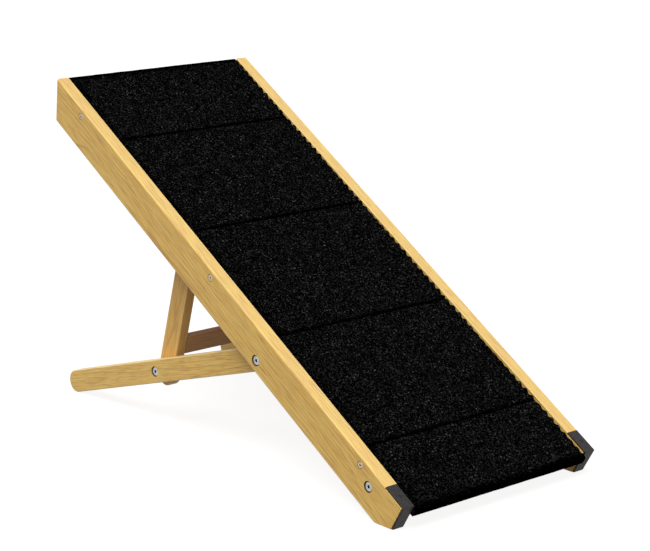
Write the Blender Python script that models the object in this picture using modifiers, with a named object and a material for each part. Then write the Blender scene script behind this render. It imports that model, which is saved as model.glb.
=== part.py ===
# Folding dog ramp. A carpeted deck lies between two wooden rails. A pair of legs is bolted inside
# the rails, and a prop frame is bolted between the legs. The prop's top bar stands in a notched
# rack under the deck. To fold, the prop swings between the legs and the legs swing between the rails.
# Metres, +Z up. The ramp climbs towards -X and is symmetric about Y = 0. The origin is on the floor.
# A place on the ramp is given as its distance up the ramp and its drop below the tops of the rails.

from math import asin, cos, pi, radians, sin, tan

import bmesh
import bpy
from mathutils import Matrix

# Ramp: rails and slope
SLOPE = radians(30.85)            # the deck above the floor, as the ramp stands
RAMP_WIDTH = 0.400                # over the outer faces of the rails
RAIL_LENGTH = 1.000               # low end to the top corner of the high end
RAIL_HEIGHT = 0.066
RAIL_THICKNESS = 0.0225
RAIL_ROUND = 0.0022               # rounding of the rails' edges
HEAD_CUT = radians(25.0)          # lean of the high end off square
FOOT_FACE = 0.0447                # depth of the low end's square face above the floor cut

# Deck: board and carpet
DECK_DROP = 0.0065                # carpet below the tops of the rails
CARPET_THICKNESS = 0.0020
CARPET_INSET = 0.0015             # carpet short of each rail
CARPET_CORNER = 0.0008            # rounding of the carpet's cut edges at a seam
SEAM_GAP = 0.0008
WRAP_LENGTH = 0.030               # carpet turned under the board at each end
BOARD_THICKNESS = 0.0080
DECK_OVERHANG = 0.0052            # carpeted nose past each end of the rails
LOW_SEAM = 0.1247                 # seams up the ramp from the low end
SECOND_SEAM = 0.3625
THIRD_SEAM = 0.6074
TOP_PANEL = 0.1629                # last seam to the high end

# Rubber caps on the low corners of the rails
CAP_LENGTH = 0.044
CAP_THICKNESS = 0.0030
CAP_INSET = 0.0010                # cap narrower than the rail on each side
NAIL_RADIUS = 0.0009
NAIL_HEAD_RADIUS = 0.0019
NAIL_LENGTH = 0.014
TOP_NAIL = 0.022                  # nail in the cap's top, from the low end
FRONT_NAIL = 0.031                # nail in the cap's front, below the rail's top

# Low stretcher between the rails
STRETCHER_UP = 0.0713
STRETCHER_WIDTH = 0.028
STRETCHER_HEIGHT = 0.0222
STRETCHER_ROUND = 0.0015
BARREL_RADIUS = 0.0050            # barrel nut that the stretcher's bolt screws into
BARREL_LENGTH = 0.014
BARREL_INSET = 0.030              # barrel nut from the stretcher's end

# Legs
PIVOT_UP = 0.360                  # leg bolt up the ramp
PIVOT_DROP = 0.0483               # leg bolt below the tops of the rails
LEG_LENGTH = 0.556                # leg bolt to the centre of the round foot
LEG_WIDTH = 0.0384
LEG_THICKNESS = 0.0215
LEG_ROUND = 0.0018
TIE_START = 0.030                 # tie bar between the legs, from the leg bolt
TIE_WIDTH = 0.031
TIE_THICKNESS = 0.013

# Prop frame
PROP_PIVOT = 0.310                # leg bolt to prop bolt, along the leg
PROP_LEAN = radians(14.85)        # the prop off square to the deck, as the ramp stands
PROP_WIDTH = 0.0385
PROP_THICKNESS = 0.018
PROP_ROUND = 0.0015
PROP_FOOT = 0.0097                # prop bolt to the centre of the prop's round foot
CROSSBAR_START = 0.036            # prop bolt to the crossbar, up the prop
CROSSBAR_WIDTH = 0.031
CROSSBAR_THICKNESS = 0.013
CROSSBAR_ROUND = 0.0010
TOP_BAR_RADIUS = 0.0080
TOP_BAR_SOCKET = 0.012            # depth of the top bar's blind hole in each upright
TENON_LENGTH = 0.010
TENON_SHOULDER = 0.003            # tenon smaller than its bar all round
TIP_CLEARANCE = 0.0010            # least gap from the uprights' tips to the board on the way

# Rack under the deck
RACK_THICKNESS = 0.018
RACK_SPACING = 0.200              # between the middles of the two rack strips
RACK_HEAD = 0.046                 # strip past the standing seat, towards the low end
RACK_HEAD_ROUND = 0.012
RACK_LIP = 0.0035                 # strip below the middle of the seated bar
RACK_ROUND = 0.0008
RACK_CLEARANCE = 0.0010           # between the strip and the bar on its way
NOTCH_COUNT = 3                   # notches for lower slopes
NOTCH_PITCH = 0.040
NOTCH_MARGIN = 0.026              # first and last notch from the plain edges beside them
RELIEF_MARGIN = 0.0055            # hollow in the strip past each edge of the folded crossbar

# Bolts, nuts and washers
SIDE_GAP = 0.0015                 # rail to leg, and leg to prop, filled by a washer
BOLT_HEAD_RADIUS = 0.0075
BOLT_HEAD_THICKNESS = 0.0026
BOLT_HEAD_ROUND = 0.0006
BOLT_RADIUS = 0.0030
SOCKET_FLATS = 0.0050
SOCKET_DEPTH = 0.0018
BORE_CLEARANCE = 0.0003           # radial, between a shank and its hole
WASHER_RADIUS = 0.0090
NUT_FLATS = 0.0100
NUT_THICKNESS = 0.0050
BOLT_PAST_NUT = 0.0010

# Wood screws
SCREW_HEAD_RADIUS = 0.0047
SCREW_HEAD_DEPTH = 0.0028
SCREW_RADIUS = 0.0020
SCREW_TIP = 0.0040
DECK_SCREW_LENGTH = 0.040
RACK_SCREW_LENGTH = 0.018
LOW_SCREW = 0.101                 # deck screws up the ramp
MIDDLE_SCREW = 0.511
TOP_SCREW = 0.086                 # last deck screw from the high end

# Fits and facets
GAP = 0.0003                      # between pieces that touch
ARC_STEPS = 12                    # facets of a half circle
ROUND_FACETS = 24                 # facets of a bolt, a dowel or a bore
SMALL_FACETS = 16                 # facets of a screw or a nail
PATH_STEPS = 48                   # steps along the fold, for the rack's edge

# Angles and places that follow from the sizes
CORNER_HEIGHT = FOOT_FACE * cos(SLOPE)
PIVOT_HEIGHT = CORNER_HEIGHT + PIVOT_UP * sin(SLOPE) - PIVOT_DROP * cos(SLOPE)
LEG_TILT = asin((PIVOT_HEIGHT - LEG_WIDTH / 2) / LEG_LENGTH)
LEG_TRAVEL = SLOPE + LEG_TILT
PROP_TRAVEL = pi / 2 - PROP_LEAN
PIVOT_BACK = PIVOT_UP * cos(SLOPE) + PIVOT_DROP * sin(SLOPE)
RAMP_REACH = PIVOT_BACK + LEG_LENGTH * cos(LEG_TILT) + LEG_WIDTH / 2
BOARD_DROP = DECK_DROP + CARPET_THICKNESS + GAP
BOARD_UNDERSIDE = BOARD_DROP + BOARD_THICKNESS
BOARD_END = DECK_OVERHANG - CARPET_THICKNESS - GAP
RAIL_FACE = RAMP_WIDTH / 2
RAIL_INSIDE = RAIL_FACE - RAIL_THICKNESS
LEG_FACE = RAIL_INSIDE - SIDE_GAP
LEG_INSIDE = LEG_FACE - LEG_THICKNESS
PROP_FACE = LEG_INSIDE - SIDE_GAP
PROP_INSIDE = PROP_FACE - PROP_THICKNESS
TOP_SEAM = RAIL_LENGTH - TOP_PANEL
SIDES = {"left": -1, "right": 1}  # as seen when walking up the ramp


def prop_point(length, fold):
    """Place on the prop's axis, a length from its bolt, at a share of the fold from 0 to 1."""
    leg_angle = LEG_TRAVEL * (1 - fold)
    lean = PROP_LEAN + PROP_TRAVEL * fold
    up = PIVOT_UP + PROP_PIVOT * cos(leg_angle) + length * sin(lean)
    drop = PIVOT_DROP + PROP_PIVOT * sin(leg_angle) - length * cos(lean)
    return up, drop


def longest_prop():
    """Length from the prop's bolt to its top bar at which the tips just clear the board."""
    least_drop = BOARD_UNDERSIDE + TIP_CLEARANCE + PROP_WIDTH / 2
    lengths = []
    for step in range(PATH_STEPS):
        bolt_up, bolt_drop = prop_point(0, step / PATH_STEPS)
        lean = PROP_LEAN + PROP_TRAVEL * step / PATH_STEPS
        lengths.append((bolt_drop - least_drop) / cos(lean))
    return min(lengths)


PROP_LENGTH = longest_prop()
SEAT_UP, SEAT_DROP = prop_point(PROP_LENGTH, 0)


def clear_scene():
    for item in list(bpy.data.objects):
        bpy.data.objects.remove(item, do_unlink=True)


def new_collection(name):
    group = bpy.data.collections.new(name)
    bpy.context.scene.collection.children.link(group)
    return group


def new_material(name, colour, roughness, metallic=0.0):
    material = bpy.data.materials.new(name)
    material.use_nodes = True
    shader = material.node_tree.nodes["Principled BSDF"]
    shader.inputs["Base Color"].default_value = (*colour, 1.0)
    shader.inputs["Roughness"].default_value = roughness
    shader.inputs["Metallic"].default_value = metallic
    material.diffuse_color = (*colour, 1.0)
    return material


clear_scene()
PARTS = new_collection("folding_dog_ramp")
CUTTERS = new_collection("cutters")
RAIL_WOOD = new_material("rail_wood", (0.62, 0.40, 0.16), 0.45)
LEG_WOOD = new_material("leg_wood", (0.60, 0.38, 0.15), 0.45)
BARE_WOOD = new_material("bare_wood", (0.55, 0.37, 0.18), 0.65)
CARPET = new_material("carpet", (0.010, 0.010, 0.011), 0.95)
RUBBER = new_material("rubber", (0.040, 0.043, 0.046), 0.60)
ZINC = new_material("zinc", (0.62, 0.63, 0.64), 0.30, 1.0)
BLACK_STEEL = new_material("black_steel", (0.020, 0.020, 0.021), 0.40, 1.0)


def new_empty(name, location, turn, parent=None):
    """Frame of a moving group, turned about Y."""
    empty = bpy.data.objects.new(name, None)
    empty.empty_display_size = 0.05
    empty.parent = parent
    empty.location = location
    empty.rotation_euler = (0.0, turn, 0.0)
    PARTS.objects.link(empty)
    return empty


# Each frame has +X down the piece and +Z off its upper side.
RAMP = new_empty("ramp_frame", (RAMP_REACH / 2, 0.0, CORNER_HEIGHT), SLOPE)
LEGS = new_empty("leg_pivot", (-PIVOT_UP, 0.0, -PIVOT_DROP), -LEG_TRAVEL, RAMP)
PROP = new_empty("prop_pivot", (-PROP_PIVOT, 0.0, 0.0), LEG_TRAVEL - PROP_LEAN, LEGS)


def add_object(name, mesh, parent, material=None, location=(0.0, 0.0, 0.0), rotation=(0.0, 0.0, 0.0)):
    """Object of a mesh. Without a material it is a cutter."""
    piece = bpy.data.objects.new(name, mesh)
    piece.parent = parent
    piece.location = location
    piece.rotation_euler = rotation
    if material is None:
        piece.hide_render = True
        piece.display_type = "WIRE"
        CUTTERS.objects.link(piece)
    else:
        mesh.materials.append(material)
        PARTS.objects.link(piece)
    return piece


def soften(piece, width, segments=2):
    """Round the sharp edges of a piece."""
    bevel = piece.modifiers.new("Bevel", "BEVEL")
    bevel.width = width
    bevel.segments = segments
    bevel.limit_method = "ANGLE"
    bevel.angle_limit = radians(40)
    return piece


def cut(piece, cutter):
    """Take a cutter's shape out of a piece."""
    boolean = piece.modifiers.new(cutter.name, "BOOLEAN")
    boolean.operation = "DIFFERENCE"
    boolean.solver = "EXACT"
    boolean.object = cutter


def arc(middle_x, middle_z, radius, start, end, steps):
    """Points of an arc in the XZ plane, both ends included."""
    points = []
    for step in range(steps + 1):
        angle = start + (end - start) * step / steps
        points.append((middle_x + radius * cos(angle), middle_z + radius * sin(angle)))
    return points


def outline_mesh(name, loops, width):
    """Solid of a flat outline in the XZ plane, with any holes as further loops, drawn out along Y."""
    curve = bpy.data.curves.new(name, "CURVE")
    curve.dimensions = "2D"
    curve.fill_mode = "BOTH"
    curve.extrude = width / 2
    for points in loops:
        spline = curve.splines.new("POLY")
        spline.points.add(len(points) - 1)
        for control, (x, z) in zip(spline.points, points):
            control.co = (x, z, 0.0, 1.0)
        spline.use_cyclic_u = True
    carrier = bpy.data.objects.new(name, curve)
    bpy.context.scene.collection.objects.link(carrier)
    bpy.context.view_layer.update()
    evaluated = carrier.evaluated_get(bpy.context.evaluated_depsgraph_get())
    mesh = bpy.data.meshes.new_from_object(evaluated)
    bpy.data.objects.remove(carrier, do_unlink=True)
    mesh.transform(Matrix.Rotation(pi / 2, 4, "X"))
    shape = bmesh.new()
    shape.from_mesh(mesh)
    bmesh.ops.remove_doubles(shape, verts=shape.verts, dist=0.00001)
    bmesh.ops.dissolve_limit(shape, angle_limit=radians(0.5), verts=shape.verts, edges=shape.edges)
    bmesh.ops.recalc_face_normals(shape, faces=shape.faces)
    shape.to_mesh(mesh)
    shape.free()
    mesh.name = name
    return mesh


def box_mesh(name, size_x, size_y, size_z):
    """Box about the origin."""
    shape = bmesh.new()
    bmesh.ops.create_cube(shape, size=1.0, matrix=Matrix.Diagonal((size_x, size_y, size_z, 1.0)))
    mesh = bpy.data.meshes.new(name)
    shape.to_mesh(mesh)
    shape.free()
    return mesh


def turned(name, profile, facets, parent, material=None, location=(0.0, 0.0, 0.0),
           rotation=(0.0, 0.0, 0.0), closed=False):
    """Piece turned about its Z axis from a profile that runs top to bottom on its outer side."""
    mesh = bpy.data.meshes.new(name)
    count = len(profile)
    edges = [(index, index + 1) for index in range(count - 1)]
    if closed:
        edges.append((count - 1, 0))
    mesh.from_pydata([(radius, 0.0, height) for radius, height in profile], edges, [])
    piece = add_object(name, mesh, parent, material, location, rotation)
    screw = piece.modifiers.new("Screw", "SCREW")
    screw.axis = "Z"
    screw.steps = facets
    screw.render_steps = facets
    screw.use_merge_vertices = True
    screw.merge_threshold = 0.00001
    screw.use_smooth_shade = True
    return piece


def outward(side):
    """Turn that points a piece's Z axis out of the ramp on one side."""
    return (-side * pi / 2, 0.0, 0.0)


def stadium(start, end, width):
    """Outline of a bar with full-round ends, its middles on the X axis."""
    radius = width / 2
    return (arc(end, 0.0, radius, -pi / 2, pi / 2, ARC_STEPS)
            + arc(start, 0.0, radius, pi / 2, 3 * pi / 2, ARC_STEPS))


def ramp_points(places):
    """Places on the ramp, as distance up and drop, in the ramp's own frame."""
    return [(-up, -drop) for up, drop in places]


def add_bore(name, radius, middle_y, depth, parent, x=0.0, z=0.0):
    """Round cutter along Y."""
    profile = [(0.0, depth / 2), (radius, depth / 2), (radius, -depth / 2), (0.0, -depth / 2)]
    return turned(name, profile, ROUND_FACETS, parent, None, (x, middle_y, z), outward(1))


def add_counterbore(name, side, face, parent, x, z):
    """Cutter for a bolt that comes in from a face: a seat for its head and a hole for its shank."""
    seat = BOLT_HEAD_RADIUS + GAP
    hole = BOLT_RADIUS + BORE_CLEARANCE
    floor = -BOLT_HEAD_THICKNESS - GAP
    through = -2 * RAIL_THICKNESS
    above = BOLT_HEAD_THICKNESS
    profile = [(0.0, above), (seat, above), (seat, floor), (hole, floor), (hole, through), (0.0, through)]
    return turned(name, profile, ROUND_FACETS, parent, None, (x, side * face, z), outward(side))


def add_bolt(name, side, face, inner_end, parent, x, z):
    """Bolt with a flat round head flush with a face, and a hexagon socket."""
    edge = BOLT_HEAD_ROUND
    length = face - inner_end
    profile = [(0.0, 0.0), (BOLT_HEAD_RADIUS - edge, 0.0), (BOLT_HEAD_RADIUS, -edge)]
    profile += [(BOLT_HEAD_RADIUS, -BOLT_HEAD_THICKNESS), (BOLT_RADIUS, -BOLT_HEAD_THICKNESS)]
    profile += [(BOLT_RADIUS, -length), (0.0, -length)]
    place = (x, side * face, z)
    bolt = turned(name, profile, ROUND_FACETS, parent, ZINC, place, outward(side))
    shape = bmesh.new()
    flats = SOCKET_FLATS / 2 / cos(pi / 6)
    bmesh.ops.create_cone(shape, cap_ends=True, segments=6, radius1=flats, radius2=flats,
                          depth=2 * SOCKET_DEPTH)
    mesh = bpy.data.meshes.new(name + "_socket")
    shape.to_mesh(mesh)
    shape.free()
    cut(bolt, add_object(name + "_socket", mesh, parent, None, place, outward(side)))
    return bolt


def add_washer(name, side, outer_face, inner_face, parent, x, z):
    """Flat washer that fills the space between two faces, a gap short of each."""
    top = (outer_face - inner_face) / 2 - GAP
    hole = BOLT_RADIUS + BORE_CLEARANCE
    profile = [(WASHER_RADIUS, top), (WASHER_RADIUS, -top), (hole, -top), (hole, top)]
    middle = side * (outer_face + inner_face) / 2
    return turned(name, profile, ROUND_FACETS, parent, ZINC, (x, middle, z), outward(side), closed=True)


def add_nut(name, side, face, parent, x, z):
    """Hexagon nut a gap inside a face."""
    corner = NUT_FLATS / 2 / cos(pi / 6)
    hexagon = arc(0.0, 0.0, corner, 0.0, 5 * pi / 3, 5)
    hole = BOLT_RADIUS + BORE_CLEARANCE
    bore = arc(0.0, 0.0, hole, 0.0, 2 * pi - 2 * pi / ROUND_FACETS, ROUND_FACETS - 1)
    mesh = outline_mesh(name, [hexagon, bore], NUT_THICKNESS)
    middle = side * (face - GAP - NUT_THICKNESS / 2)
    return add_object(name, mesh, parent, ZINC, (x, middle, z))


def screw_profile(length, extra, above):
    """Countersunk screw's profile. Its hole has the same form, larger by extra and open above."""
    head = SCREW_HEAD_RADIUS + extra
    shank = SCREW_RADIUS + extra
    profile = [(0.0, above), (head, above), (head, -extra), (shank, -SCREW_HEAD_DEPTH - extra)]
    profile += [(shank, -length + SCREW_TIP - extra), (0.0, -length - extra)]
    return profile


def add_screw(name, length, parent, location, rotation):
    """Countersunk wood screw, flush with the wood at its place."""
    profile = screw_profile(length, 0.0, 0.0)
    profile.pop(1)
    return turned(name, profile, SMALL_FACETS, parent, ZINC, location, rotation)


def add_screw_hole(name, length, parent, location, rotation):
    profile = screw_profile(length, GAP, SCREW_HEAD_DEPTH)
    return turned(name, profile, SMALL_FACETS, parent, None, location, rotation)


def screw_places():
    return {"low": LOW_SCREW, "middle": MIDDLE_SCREW, "top": RAIL_LENGTH - TOP_SCREW}


def add_nail(name, location, rotation, side):
    """Small flat-headed nail in a rubber cap, its head flush."""
    profile = [(0.0, 0.0), (NAIL_HEAD_RADIUS, 0.0), (NAIL_HEAD_RADIUS, -NAIL_RADIUS)]
    profile += [(NAIL_RADIUS, -NAIL_RADIUS), (NAIL_RADIUS, -NAIL_LENGTH), (0.0, -NAIL_LENGTH)]
    return turned(name, profile, SMALL_FACETS, RAMP, BLACK_STEEL, location, rotation)


def add_nail_hole(name, location, rotation):
    seat = NAIL_HEAD_RADIUS + GAP
    hole = NAIL_RADIUS + GAP
    floor = -NAIL_RADIUS - GAP
    end = -NAIL_LENGTH - GAP
    profile = [(0.0, CAP_THICKNESS), (seat, CAP_THICKNESS), (seat, floor), (hole, floor), (hole, end), (0.0, end)]
    return turned(name, profile, SMALL_FACETS, RAMP, None, location, rotation)


def rail_outline():
    """Side view of a rail: square low end, foot cut flush with the floor, leaning high end."""
    heel = (RAIL_HEIGHT - FOOT_FACE) / tan(SLOPE)
    high_bottom = RAIL_LENGTH - RAIL_HEIGHT * tan(HEAD_CUT)
    places = [(0.0, 0.0), (0.0, FOOT_FACE), (heel, RAIL_HEIGHT), (high_bottom, RAIL_HEIGHT), (RAIL_LENGTH, 0.0)]
    return ramp_points(places)


def cap_outline(extra):
    """Rubber cap's L shape, cut flush with the floor. The rebate for it is larger by extra."""
    inner = CAP_THICKNESS + extra
    floor_drop = FOOT_FACE + inner * tan(SLOPE)
    end = CAP_LENGTH + extra
    if extra > 0:
        beyond = CAP_THICKNESS
        places = [(-beyond, -beyond), (end, -beyond), (end, inner), (inner, inner)]
        places += [(inner, floor_drop + beyond), (-beyond, floor_drop + beyond)]
    else:
        places = [(0.0, 0.0), (end, 0.0), (end, inner), (inner, inner), (inner, floor_drop), (0.0, FOOT_FACE)]
    return ramp_points(places)


def add_rails():
    """Rails with their caps, nails and the holes for every bolt and screw."""
    cap_width = RAIL_THICKNESS - 2 * CAP_INSET
    middle = RAIL_FACE - RAIL_THICKNESS / 2
    board_middle = BOARD_DROP + BOARD_THICKNESS / 2
    for side_name, side in SIDES.items():
        mesh = outline_mesh("rail_" + side_name, [rail_outline()], RAIL_THICKNESS)
        rail = add_object("rail_" + side_name, mesh, RAMP, RAIL_WOOD, (0.0, side * middle, 0.0))
        soften(rail, RAIL_ROUND)
        rebate = outline_mesh("cap_rebate_" + side_name, [cap_outline(GAP)], RAIL_THICKNESS * 2)
        cut(rail, add_object("cap_rebate_" + side_name, rebate, RAMP, None, (0.0, side * middle, 0.0)))
        cut(rail, add_counterbore("leg_bolt_hole_" + side_name, side, RAIL_FACE, RAMP, -PIVOT_UP, -PIVOT_DROP))
        drop = BOARD_UNDERSIDE + GAP + STRETCHER_HEIGHT / 2
        cut(rail, add_counterbore("stretcher_bolt_hole_" + side_name, side, RAIL_FACE, RAMP, -STRETCHER_UP, -drop))
        for place_name, up in screw_places().items():
            name = "deck_screw_" + place_name + "_" + side_name
            place = (-up, side * RAIL_FACE, -board_middle)
            add_screw(name, DECK_SCREW_LENGTH, RAMP, place, outward(side))
            cut(rail, add_screw_hole(name + "_hole", DECK_SCREW_LENGTH, RAMP, place, outward(side)))

        cap_mesh = outline_mesh("rubber_cap_" + side_name, [cap_outline(0.0)], cap_width)
        cap = add_object("rubber_cap_" + side_name, cap_mesh, RAMP, RUBBER, (0.0, side * middle, 0.0))
        nails = {"top": ((-TOP_NAIL, side * middle, 0.0), (0.0, 0.0, 0.0))}
        nails["front"] = ((0.0, side * middle, -FRONT_NAIL), (0.0, pi / 2, 0.0))
        for nail_name, (place, turn) in nails.items():
            name = "cap_nail_" + nail_name + "_" + side_name
            add_nail(name, place, turn, side)
            hole = add_nail_hole(name + "_hole", place, turn)
            cut(rail, hole)
            cut(cap, hole)


def board_outline():
    """Board's long section, with round noses."""
    radius = BOARD_THICKNESS / 2
    middle = -(BOARD_DROP + radius)
    low = arc(BOARD_END - radius, middle, radius, -pi / 2, pi / 2, ARC_STEPS // 2)
    high = arc(-RAIL_LENGTH - BOARD_END + radius, middle, radius, pi / 2, 3 * pi / 2, ARC_STEPS // 2)
    return low + high


def nose_outline(seam):
    """Carpet from a seam to the low end, round the board's nose and turned under it."""
    outer = BOARD_THICKNESS / 2 + GAP + CARPET_THICKNESS
    inner = BOARD_THICKNESS / 2 + GAP
    middle_x = DECK_OVERHANG - outer
    middle_z = -(DECK_DROP + outer)
    corner = CARPET_CORNER
    edge = -seam + SEAM_GAP / 2
    points = arc(edge + corner, -DECK_DROP - corner, corner, pi, pi / 2, 3)
    points += arc(middle_x, middle_z, outer, pi / 2, -pi / 2, ARC_STEPS // 2)
    points += [(-WRAP_LENGTH, middle_z - outer), (-WRAP_LENGTH, middle_z - inner)]
    points += arc(middle_x, middle_z, inner, -pi / 2, pi / 2, ARC_STEPS // 2)
    points.append((edge, middle_z + inner))
    return points


def panel_outline(low_seam, high_seam):
    """Flat carpet panel between two seams, its cut edges a little rounded."""
    corner = CARPET_CORNER
    low = -low_seam - SEAM_GAP / 2
    high = -high_seam + SEAM_GAP / 2
    bottom = -DECK_DROP - CARPET_THICKNESS
    points = [(low, bottom)]
    points += arc(low - corner, -DECK_DROP - corner, corner, 0.0, pi / 2, 3)
    points += arc(high + corner, -DECK_DROP - corner, corner, pi / 2, pi, 3)
    points.append((high, bottom))
    return points


def add_carpet():
    """Five carpet panels. The two end panels wrap the board's noses."""
    width = 2 * (RAIL_INSIDE - CARPET_INSET)
    outlines = {"carpet_low": nose_outline(LOW_SEAM)}
    outlines["carpet_lower"] = panel_outline(LOW_SEAM, SECOND_SEAM)
    outlines["carpet_middle"] = panel_outline(SECOND_SEAM, THIRD_SEAM)
    outlines["carpet_upper"] = panel_outline(THIRD_SEAM, TOP_SEAM)
    outlines["carpet_top"] = [(-RAIL_LENGTH - x, z) for x, z in nose_outline(TOP_PANEL)]
    for name, outline in outlines.items():
        add_object(name, outline_mesh(name, [outline], width), RAMP, CARPET)


def rack_screw_places():
    """The two screws of a rack strip, up the ramp: one in its head and one near its high end."""
    return {"low": SEAT_UP - RACK_HEAD / 2, "high": rack_end() - NOTCH_MARGIN / 3}


def add_deck():
    """Board between the rails, with the holes of the deck and rack screws."""
    width = 2 * (RAIL_INSIDE - GAP)
    board = add_object("deck_board", outline_mesh("deck_board", [board_outline()], width), RAMP, BARE_WOOD)
    for side_name in SIDES:
        for place_name in screw_places():
            cut(board, bpy.data.objects["deck_screw_" + place_name + "_" + side_name + "_hole"])
        for place_name in rack_screw_places():
            cut(board, bpy.data.objects["rack_screw_" + place_name + "_" + side_name + "_hole"])
    add_carpet()


def add_stretcher():
    """Low stretcher between the rails, drawn up by a bolt and a barrel nut at each end."""
    drop = BOARD_UNDERSIDE + GAP + STRETCHER_HEIGHT / 2
    length = 2 * (RAIL_INSIDE - GAP)
    mesh = box_mesh("low_stretcher", STRETCHER_WIDTH, length, STRETCHER_HEIGHT)
    stretcher = add_object("low_stretcher", mesh, RAMP, BARE_WOOD, (-STRETCHER_UP, 0.0, -drop))
    soften(stretcher, STRETCHER_ROUND)
    barrel_bottom = drop + STRETCHER_HEIGHT / 2
    for side_name, side in SIDES.items():
        barrel_y = side * (RAIL_INSIDE - BARREL_INSET)
        inner_end = RAIL_INSIDE - BARREL_INSET - BARREL_RADIUS + GAP
        add_bolt("stretcher_bolt_" + side_name, side, RAIL_FACE, inner_end, RAMP, -STRETCHER_UP, -drop)
        bore_length = 2 * (BARREL_INSET + 2 * BARREL_RADIUS)
        bore = add_bore("stretcher_bore_" + side_name, BOLT_RADIUS + BORE_CLEARANCE, side * RAIL_INSIDE,
                        bore_length, RAMP, -STRETCHER_UP, -drop)
        cut(stretcher, bore)
        top = BARREL_LENGTH / 2 + GAP
        pocket = BARREL_RADIUS + GAP
        profile = [(0.0, top), (pocket, top), (pocket, -STRETCHER_HEIGHT), (0.0, -STRETCHER_HEIGHT)]
        place = (-STRETCHER_UP, barrel_y, -drop)
        cut(stretcher, turned("barrel_pocket_" + side_name, profile, ROUND_FACETS, RAMP, None, place))
        half = BARREL_LENGTH / 2
        profile = [(0.0, half), (BARREL_RADIUS, half), (BARREL_RADIUS, -half), (0.0, -half)]
        barrel = turned("barrel_nut_" + side_name, profile, ROUND_FACETS, RAMP, ZINC, place)
        cut(barrel, bore)


def rack_end():
    """High end of a rack strip, past its last notch."""
    return notch_places()[-1] + NOTCH_MARGIN


def relief_span():
    """Stretch of the rack that the folded crossbar lies under, as low and high places up the ramp."""
    crossbar = PIVOT_UP + PROP_PIVOT + CROSSBAR_START
    return crossbar - RELIEF_MARGIN, crossbar + CROSSBAR_WIDTH + RELIEF_MARGIN


def notch_places():
    """Middles of the notches for lower slopes, up the ramp."""
    first = relief_span()[1] + NOTCH_MARGIN
    return [first + NOTCH_PITCH * index for index in range(NOTCH_COUNT)]


def rack_edge():
    """Lower edge of the rack from the seat up the ramp: it clears the bar all along its way."""
    offset = TOP_BAR_RADIUS + RACK_CLEARANCE
    way = [prop_point(PROP_LENGTH, step / PATH_STEPS) for step in range(PATH_STEPS + 1)]
    highest = min(range(len(way)), key=lambda step: way[step][1])
    edge = [(up, drop - offset) for up, drop in way[:highest + 1]]
    edge.append((rack_end(), edge[-1][1]))
    return edge


def rack_outline():
    """Rack strip: a deep head with the standing seat, then an edge that rises past the notches."""
    top = BOARD_UNDERSIDE + GAP
    radius = TOP_BAR_RADIUS + RACK_CLEARANCE
    head_end = SEAT_UP - RACK_HEAD
    lip = SEAT_DROP + RACK_LIP
    low_corner = ramp_points([(head_end + RACK_HEAD_ROUND, lip - RACK_HEAD_ROUND)])[0]
    points = ramp_points([(rack_end(), top), (head_end, top)])
    points += arc(*low_corner, RACK_HEAD_ROUND, 0.0, -pi / 2, ARC_STEPS // 2)
    points += ramp_points([(SEAT_UP - radius, lip)])
    points += arc(-SEAT_UP, -SEAT_DROP, radius, 0.0, pi / 2, ARC_STEPS // 2)
    points += ramp_points(rack_edge()[1:])
    return points


def add_rack():
    """Two notched strips under the board, each screwed on from above through the board."""
    relief_low, relief_high = relief_span()
    relief_top = PIVOT_DROP - PROP_WIDTH / 2 - RACK_CLEARANCE
    for side_name, side in SIDES.items():
        y = side * RACK_SPACING / 2
        mesh = outline_mesh("rack_strip_" + side_name, [rack_outline()], RACK_THICKNESS)
        strip = add_object("rack_strip_" + side_name, mesh, RAMP, BARE_WOOD, (0.0, y, 0.0))
        soften(strip, RACK_ROUND, 1)
        depth = SEAT_DROP
        box = box_mesh("crossbar_relief_" + side_name, relief_high - relief_low, 2 * RACK_THICKNESS, depth)
        middle = (-(relief_low + relief_high) / 2, y, -relief_top - depth / 2)
        cut(strip, add_object("crossbar_relief_" + side_name, box, RAMP, None, middle))
        for index, up in enumerate(notch_places()):
            name = "notch_" + str(index + 1) + "_" + side_name
            drop = rack_edge()[-1][1]
            cut(strip, add_bore(name, TOP_BAR_RADIUS + RACK_CLEARANCE / 2, y, 2 * RACK_THICKNESS, RAMP, -up, -drop))
        for place_name, up in rack_screw_places().items():
            name = "rack_screw_" + place_name + "_" + side_name
            place = (-up, y, -BOARD_DROP)
            add_screw(name, RACK_SCREW_LENGTH, RAMP, place, (0.0, 0.0, 0.0))
            cut(strip, add_screw_hole(name + "_hole", RACK_SCREW_LENGTH, RAMP, place, (0.0, 0.0, 0.0)))


def add_tenoned_bar(name, width, thickness, half_length, rounding, parent, material, location, rotation):
    """Bar across the frame with a tenon at each end. Its length runs along Y."""
    shape = bmesh.new()
    size = Matrix.Diagonal((width, 2 * half_length, thickness, 1.0))
    bmesh.ops.create_cube(shape, size=1.0, matrix=size)
    long_edges = [edge for edge in shape.edges if abs(edge.verts[0].co.y - edge.verts[1].co.y) > half_length]
    bmesh.ops.bevel(shape, geom=long_edges, offset=rounding, segments=2, profile=0.5, affect="EDGES", material=-1)
    shoulder = (1 - 2 * TENON_SHOULDER / width, 1.0, 1 - 2 * TENON_SHOULDER / thickness)
    ends = [face for face in shape.faces if abs(face.normal.y) > 0.9]
    for end in ends:
        step = TENON_LENGTH if end.normal.y > 0 else -TENON_LENGTH
        inner = bmesh.ops.extrude_discrete_faces(shape, faces=[end])["faces"]
        bmesh.ops.scale(shape, verts=inner[0].verts, vec=shoulder)
        outer = bmesh.ops.extrude_discrete_faces(shape, faces=inner)["faces"]
        bmesh.ops.translate(shape, verts=outer[0].verts, vec=(0.0, step, 0.0))
    bmesh.ops.recalc_face_normals(shape, faces=shape.faces)
    mesh = bpy.data.meshes.new(name)
    shape.to_mesh(mesh)
    shape.free()
    return add_object(name, mesh, parent, material, location, rotation)


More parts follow.
